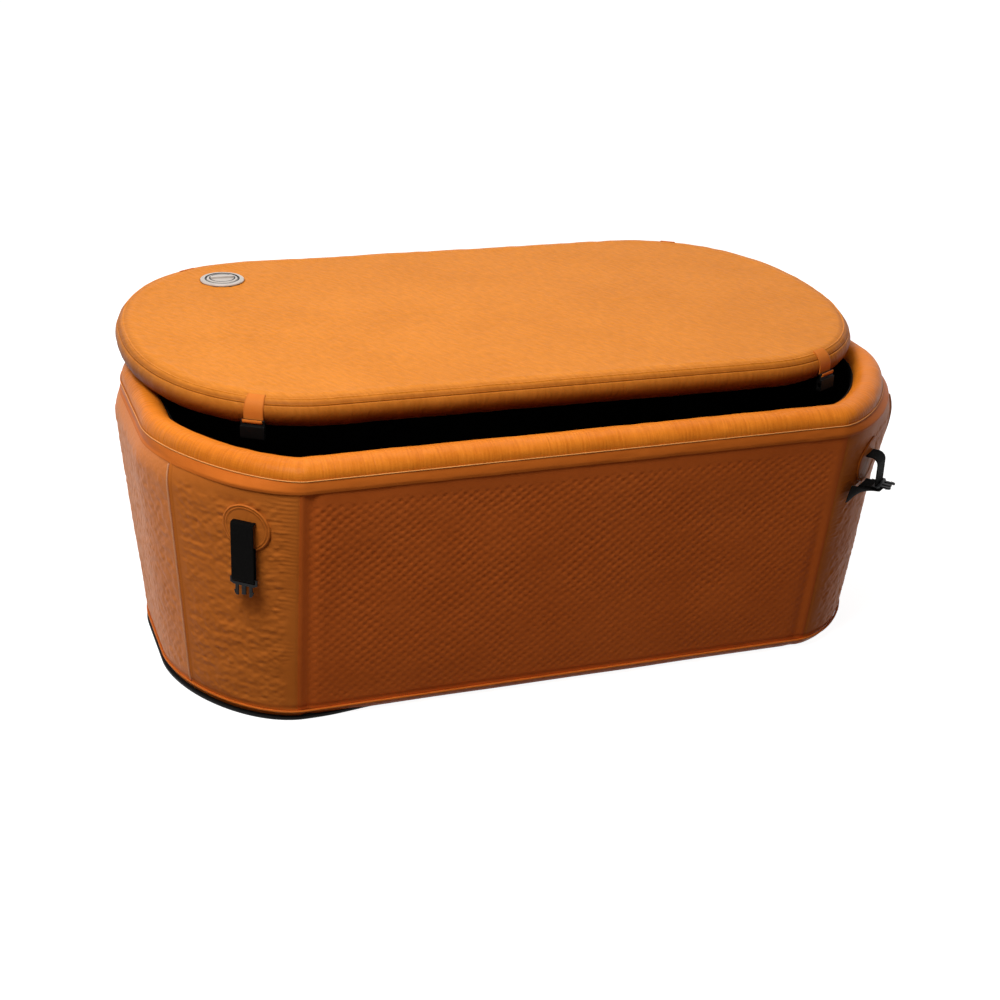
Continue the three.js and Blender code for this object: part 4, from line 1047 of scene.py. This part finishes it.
# tab: a strip that starts narrow on the lid's edge, widens towards the bar and hooks round it
def lidTab(corner, name):
    matrix = lidMatrix @ edgeFrame(lid["level"], corner, tab["station"], 0)
    half = lid["half"]
    barY, barZ = tab["reach"] + tab["wrap"], -tab["drop"]
    raw = np.concatenate([
        arc(-half, 0, half + tab["reach"], tab["rise"], 0, 30),
        arc(barY, barZ, tab["wrap"], 180, tab["hook"], 24)])
    path, run = evenPath(raw, 0.0015)
    width = tab["rootWidth"] + (tab["width"] - tab["rootWidth"]) * ease(run, 0.0, tab["rootLength"])
    across = np.tile([1.0, 0, 0], (len(path), 1))
    grid, _ = ribbonGrid(path, run, across, width, tab["thickness"])
    edge = np.abs(np.concatenate([np.linspace(-1, 1, 11), np.linspace(1, -1, 11)]))
    # painted shade along two lines near the strip's edges
    paintedLight = np.broadcast_to(tab["stitchShade"] * bump(edge, 0.72, 0.1), grid.shape[:2])
    piece = gridMesh("lid_tab_strip_" + name, placed(grid, matrix), closeColumns=True, capRows=True,
                     paintedLight=paintedLight, sharp=60)
    dress(piece, tanVinyl, "lid", "tan_vinyl", "lid_tab_" + name)


for index, name in enumerate(cornerNames):
    lidTab(index, name)
print("lid tabs made")

# valves and drain


def wallFrame(x, z):  # local z points out of the leaning back wall
    lean = math.atan((tub["top"]["width"] - tub["foot"]["width"]) / 2 / tub["seamHeight"])
    place = Matrix.Translation((x, wallLevel(z)["width"] / 2, z))
    return place @ Matrix.Rotation(-(math.pi / 2 + lean), 4, "X")


# turned piece: a profile of radius and height swept once round, with an optional ripple on the radius
def turnedPiece(name, profile, matrix, sides=96, ripple=None, closed=False):
    radius, height = np.array(profile).T
    angle = np.linspace(0, 2 * np.pi, sides, endpoint=False)
    r = radius[:, None] * np.ones_like(angle)
    if ripple is not None:
        r = r + ripple(angle[None, :], radius[:, None], height[:, None])
    points = np.stack([r * np.cos(angle), r * np.sin(angle), height[:, None] * np.ones_like(angle)], axis=-1)
    points = placed(points, matrix)
    return gridMesh(name, points, closeRows=closed, closeColumns=True, capRows=not closed, sharp=40)


valve = {
    "body": [(25.0, 1.4), (25.0, -30), (4.35, -30), (4.35, -33), (30, -33), (30, 0.3), (45.6, 0.3), (46.7, 0.7),
             (47, 1.6), (46.9, 2.7), (46.2, 3.8), (45, 4.6), (43.6, 5.0), (41.5, 5.0), (40.9, 4.6), (40.2, 4.6),
             (39.6, 5.0), (37.4, 5.0), (36.4, 4.6), (34.2, 3.0), (33.6, 2.4), (33.6, 1.5), (26.2, 1.5)],
    "cap": [(0.3, -4), (24.2, -4), (24.65, -3.4), (24.65, 1.8), (32.4, 1.8), (33, 2.2), (33, 4.2), (32.6, 4.9),
            (31.6, 5.5), (29.4, 6.0), (27.6, 6.0), (26.9, 5.5), (26.0, 5.5), (25.3, 6.0), (0.3, 6.0)],
    "seat": [(33.9, 3.05), (35.6, 4.5), (36.9, 5.0), (37.3, 5.4), (35.8, 5.4), (34.2, 4.5), (33.5, 3.3)],
    "shadeRing": [(25.5, 5.7), (27.6, 5.7), (28.2, 6.05), (27.8, 6.25), (25.6, 6.25), (25.1, 6.05)],
    "bar": {"length": 0.050, "width": 0.009, "foot": 0.0045, "top": 0.0109},
    "teeth": 48, "toothDepth": 0.0004, "onWall": (0.42, 0.4),
}


# grip bar: a rounded block whose half sizes follow a squared-off oval in each direction
def gripBar(name, size, matrix):
    around = np.linspace(0, 2 * np.pi, 72, endpoint=False)
    up = np.linspace(-np.pi / 2 + 0.03, np.pi / 2 - 0.03, 20)[:, None]
    squared = lambda value, power: np.sign(value) * np.abs(value) ** power
    x = size["length"] / 2 * squared(np.cos(up), 0.35) * squared(np.cos(around), 0.42)
    y = size["width"] / 2 * squared(np.cos(up), 0.35) * squared(np.sin(around), 0.42)
    y = y * (1 + 0.25 * (2 * np.abs(x) / size["length"]) ** 2)
    middle, half = (size["foot"] + size["top"]) / 2, (size["top"] - size["foot"]) / 2
    z = middle + half * squared(np.sin(up), 0.35) * np.ones_like(x)
    points = placed(np.stack([x, y, z], axis=-1), matrix)
    return gridMesh(name, points, closeColumns=True, capRows=True, sharp=60)


def millimetres(profile):  # profile sizes become metres
    return [(radius / 1000, height / 1000) for radius, height in profile]


# inflation valve: flange, dark seat ring, knurled cap with its bar and a dark ring of painted shade in its top
# recess, and the hidden inner pieces
def inflationValve(prefix, matrix, body):
    capBody = prefix + "_cap"
    shell = turnedPiece(prefix + "_flange", millimetres(valve["body"]), matrix, 120, closed=True)
    dress(shell, greyPlastic, body, "grey_plastic", prefix + "_body")

    def knurl(angle, radius, height):  # a cosine round the cap's outer wall
        return valve["toothDepth"] * np.cos(valve["teeth"] * angle) * (radius > 0.0322) * (height < 0.0046)

    cap = turnedPiece(prefix + "_cap_disc", millimetres(valve["cap"]), matrix, 288, knurl)
    dress(cap, greyPlastic, capBody, "grey_plastic", prefix + "_cap")
    dress(gripBar(prefix + "_cap_bar", valve["bar"], matrix), greyPlastic, capBody, "grey_plastic")
    seat = turnedPiece(prefix + "_seat_ring", millimetres(valve["seat"]), matrix, closed=True)
    dress(seat, darkSeat, body, "grey_plastic")
    # a dark ring that paints the shade in the cap's top recess
    shadeRing = turnedPiece(prefix + "_cap_shade_ring", millimetres(valve["shadeRing"]), matrix, closed=True)
    dress(shadeRing, darkSeat, capBody, "grey_plastic")
    softened(prefix + "_lock_nut", 0.0008, greyPlastic, body, "grey_plastic")
    softened(prefix + "_pin", 0.0004, greyPlastic, prefix + "_pin", "grey_plastic")
    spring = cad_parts[prefix + "_spring"]
    spring.data.materials.clear()
    spring.data.materials.append(springSteel)


inflationValve("lid_valve", lidMatrix @ Matrix.Translation((*lid["valve"], lid["half"])), "lid")
inflationValve("wall_valve", wallFrame(*valve["onWall"]), "tub")

drain = {
    "body": [(13, 6.4), (13, -82.65), (17, -82.65), (17, 2.6), (29.2, 2.6), (30, 3.2), (30, 5.4), (29.4, 6.2),
             (28.4, 6.6), (25, 6.6), (24.5, 6.2), (23.6, 6.2), (23, 6.6), (14, 6.6)],
    "plug": [(0.3, -69), (12.2, -69), (12.65, -68.4), (12.65, 6.9), (19.4, 6.9), (20, 7.4), (20, 11.4),
             (19.4, 12.4), (18.4, 12.9), (16.6, 12.9), (16, 12.5), (15, 12.5), (14.4, 12.9), (0.3, 12.9)],
    "gasket": [(17.4, 0.3), (28.6, 0.3), (29.0, 0.7), (29.0, 1.9), (28.6, 2.3), (17.4, 2.3)],
    "bar": {"length": 0.034, "width": 0.0075, "foot": 0.0118, "top": 0.0183},
    "ribs": 30, "ribDepth": 0.0004, "onWall": (-0.42, 0.088),
}


# drain: a flange with its gasket and lock nut, and a ribbed plug with a grip bar
def drainFitting():
    matrix = wallFrame(*drain["onWall"])
    body = turnedPiece("drain_flange", millimetres(drain["body"]), matrix, closed=True)
    dress(body, blackPlastic, "tub", "black_plastic", "drain_body")

    def ribs(angle, radius, height):  # a cosine round the plug's outer wall
        return drain["ribDepth"] * np.cos(drain["ribs"] * angle) * (radius > 0.0192) * (height > 0)

    plug = turnedPiece("drain_plug_stopper", millimetres(drain["plug"]), matrix, 180, ribs)
    dress(plug, blackPlastic, "drain_plug", "black_plastic", "drain_plug")
    dress(gripBar("drain_plug_bar", drain["bar"], matrix), blackPlastic, "drain_plug", "black_plastic")
    softened("drain_lock_nut", 0.0008, blackPlastic, "tub", "black_plastic")
    gasket = turnedPiece("drain_gasket_ring", millimetres(drain["gasket"]), matrix, closed=True)
    dress(gasket, blackRubber, "tub", "black_rubber", "drain_gasket")


drainFitting()
print("valves and drain made")

# floor, light and camera

stage = {
    "floor": 14.0, "below": -0.0004, "ambient": 0.11, "ambientColour": (1.0, 0.64, 0.47, 1),
    "bounce": (0.11, 0.088, 0.0715, 1), "shadow": (0.34, 0.34, 0.34, 1), "white": (1, 1, 1, 1),
    "nearGlow": 0.95, "farGlow": 1.0, "near": 0.9, "far": 2.0,
}


def seenRays(wires):  # 1 for rays from the camera, gloss or glass, 0 for rays that light the object
    path = wires.node("ShaderNodeLightPath", output="Is Camera Ray")
    return path + path.other("Is Glossy Ray") + path.other("Is Transmission Ray")


# floor: seen, it is white and keeps the object's shadow; as a source of light it is a dim warm surface
def studioFloor():
    size, below = stage["floor"], stage["below"]
    corners = [(-size, -size, below), (size, -size, below), (size, size, below), (-size, size, below)]
    mesh = bpy.data.meshes.new("studio_floor")
    mesh.from_pydata(corners, [], [(0, 1, 2, 3)])
    floor = addObject("studio_floor", mesh)
    material = bpy.data.materials.new("studio_floor_white")
    material.use_nodes = True
    material.node_tree.nodes.clear()
    wires = Wire(material.node_tree)
    plain = wires.node("ShaderNodeBsdfDiffuse", None, {"Color": stage["bounce"]})
    shadow = wires.node("ShaderNodeBsdfDiffuse", None, {"Color": stage["shadow"]})
    place = wires.node("ShaderNodeTexCoord", output="Object")
    away = wires.node("ShaderNodeVectorMath", {"operation": "LENGTH"}, {0: place}, 1)
    far = wires.node("ShaderNodeMapRange", {"interpolation_type": "SMOOTHSTEP"}, {
        "Value": away, "From Min": stage["near"], "From Max": stage["far"],
        "To Min": stage["nearGlow"], "To Max": stage["farGlow"]})
    glow = wires.node("ShaderNodeEmission", None, {"Color": stage["white"], "Strength": far})
    both = wires.node("ShaderNodeAddShader", None, {0: shadow, 1: glow})
    mixed = wires.node("ShaderNodeMixShader", None, {0: seenRays(wires), 1: plain, 2: both})
    wires.node("ShaderNodeOutputMaterial", None, {"Surface": mixed})
    mesh.materials.append(material)


def studioWorld():  # seen, it is white; as a source of light it is a dim warm sky
    world = bpy.data.worlds.new("studio_world")
    bpy.context.scene.world = world
    world.use_nodes = True
    world.node_tree.nodes.clear()
    wires = Wire(world.node_tree)
    ambient = wires.node("ShaderNodeBackground", None, {
        "Color": stage["ambientColour"], "Strength": stage["ambient"]})
    white = wires.node("ShaderNodeBackground", None, {"Color": stage["white"], "Strength": 1.0})
    mixed = wires.node("ShaderNodeMixShader", None, {0: seenRays(wires), 1: ambient, 2: white})
    wires.node("ShaderNodeOutputWorld", None, {"Surface": mixed})


lamps = [
    {"name": "key_left", "place": (-1.6, -1.5, 3.2), "aim": (-0.1, 0, 0.4), "size": (1.2, 1.2), "power": 86},
    {"name": "overhead", "place": (0.2, 0.6, 3.0), "aim": (0.1, 0.1, 0.5), "size": (2.4, 1.8), "power": 42},
    {"name": "left_back", "place": (-3.2, 1.8, 1.4), "aim": (-0.6, 0, 0.4), "size": (1.8, 1.8), "power": 18},
]


def studioLamps():  # soft rectangles, each turned to its aim
    for lamp in lamps:
        data = bpy.data.lights.new(lamp["name"], "AREA")
        data.shape = "RECTANGLE"
        data.size, data.size_y = lamp["size"]
        data.energy = lamp["power"]
        piece = addObject(lamp["name"], data)
        aim = Vector(lamp["aim"]) - Vector(lamp["place"])
        turn = aim.to_track_quat("-Z", "Y").to_matrix().to_4x4()
        piece.matrix_world = Matrix.Translation(lamp["place"]) @ turn


camera = {
    "place": (-1.230414, -3.297732, 1.828235), "heading": 0.355, "pitch": 0.425, "roll": 0.041,
    "pixels": 1825.283, "sensor": 36.0, "imageWidth": 1000, "reach": 60,
}


def studioCamera():  # heading and pitch give the forward line, roll turns the frame about it
    data = bpy.data.cameras.new("photo_camera")
    data.sensor_width = camera["sensor"]
    data.lens = camera["pixels"] / camera["imageWidth"] * camera["sensor"]
    data.clip_end = camera["reach"]
    heading, pitch, roll = camera["heading"], camera["pitch"], camera["roll"]
    level = math.cos(pitch)
    forward = Vector((math.sin(heading) * level, math.cos(heading) * level, -math.sin(pitch)))
    right = Vector((math.cos(heading), -math.sin(heading), 0))
    up = right.cross(forward)
    turnedRight = right * math.cos(roll) + up * math.sin(roll)
    turnedUp = up * math.cos(roll) - right * math.sin(roll)
    columns = Matrix((turnedRight, turnedUp, -forward)).transposed()
    piece = addObject("photo_camera", data)
    piece.matrix_world = Matrix.Translation(camera["place"]) @ columns.to_4x4()
    bpy.context.scene.camera = piece


studioFloor()
studioWorld()
studioLamps()
studioCamera()
bpy.context.scene.view_settings.view_transform = "Standard"
print("stage, light and camera set")
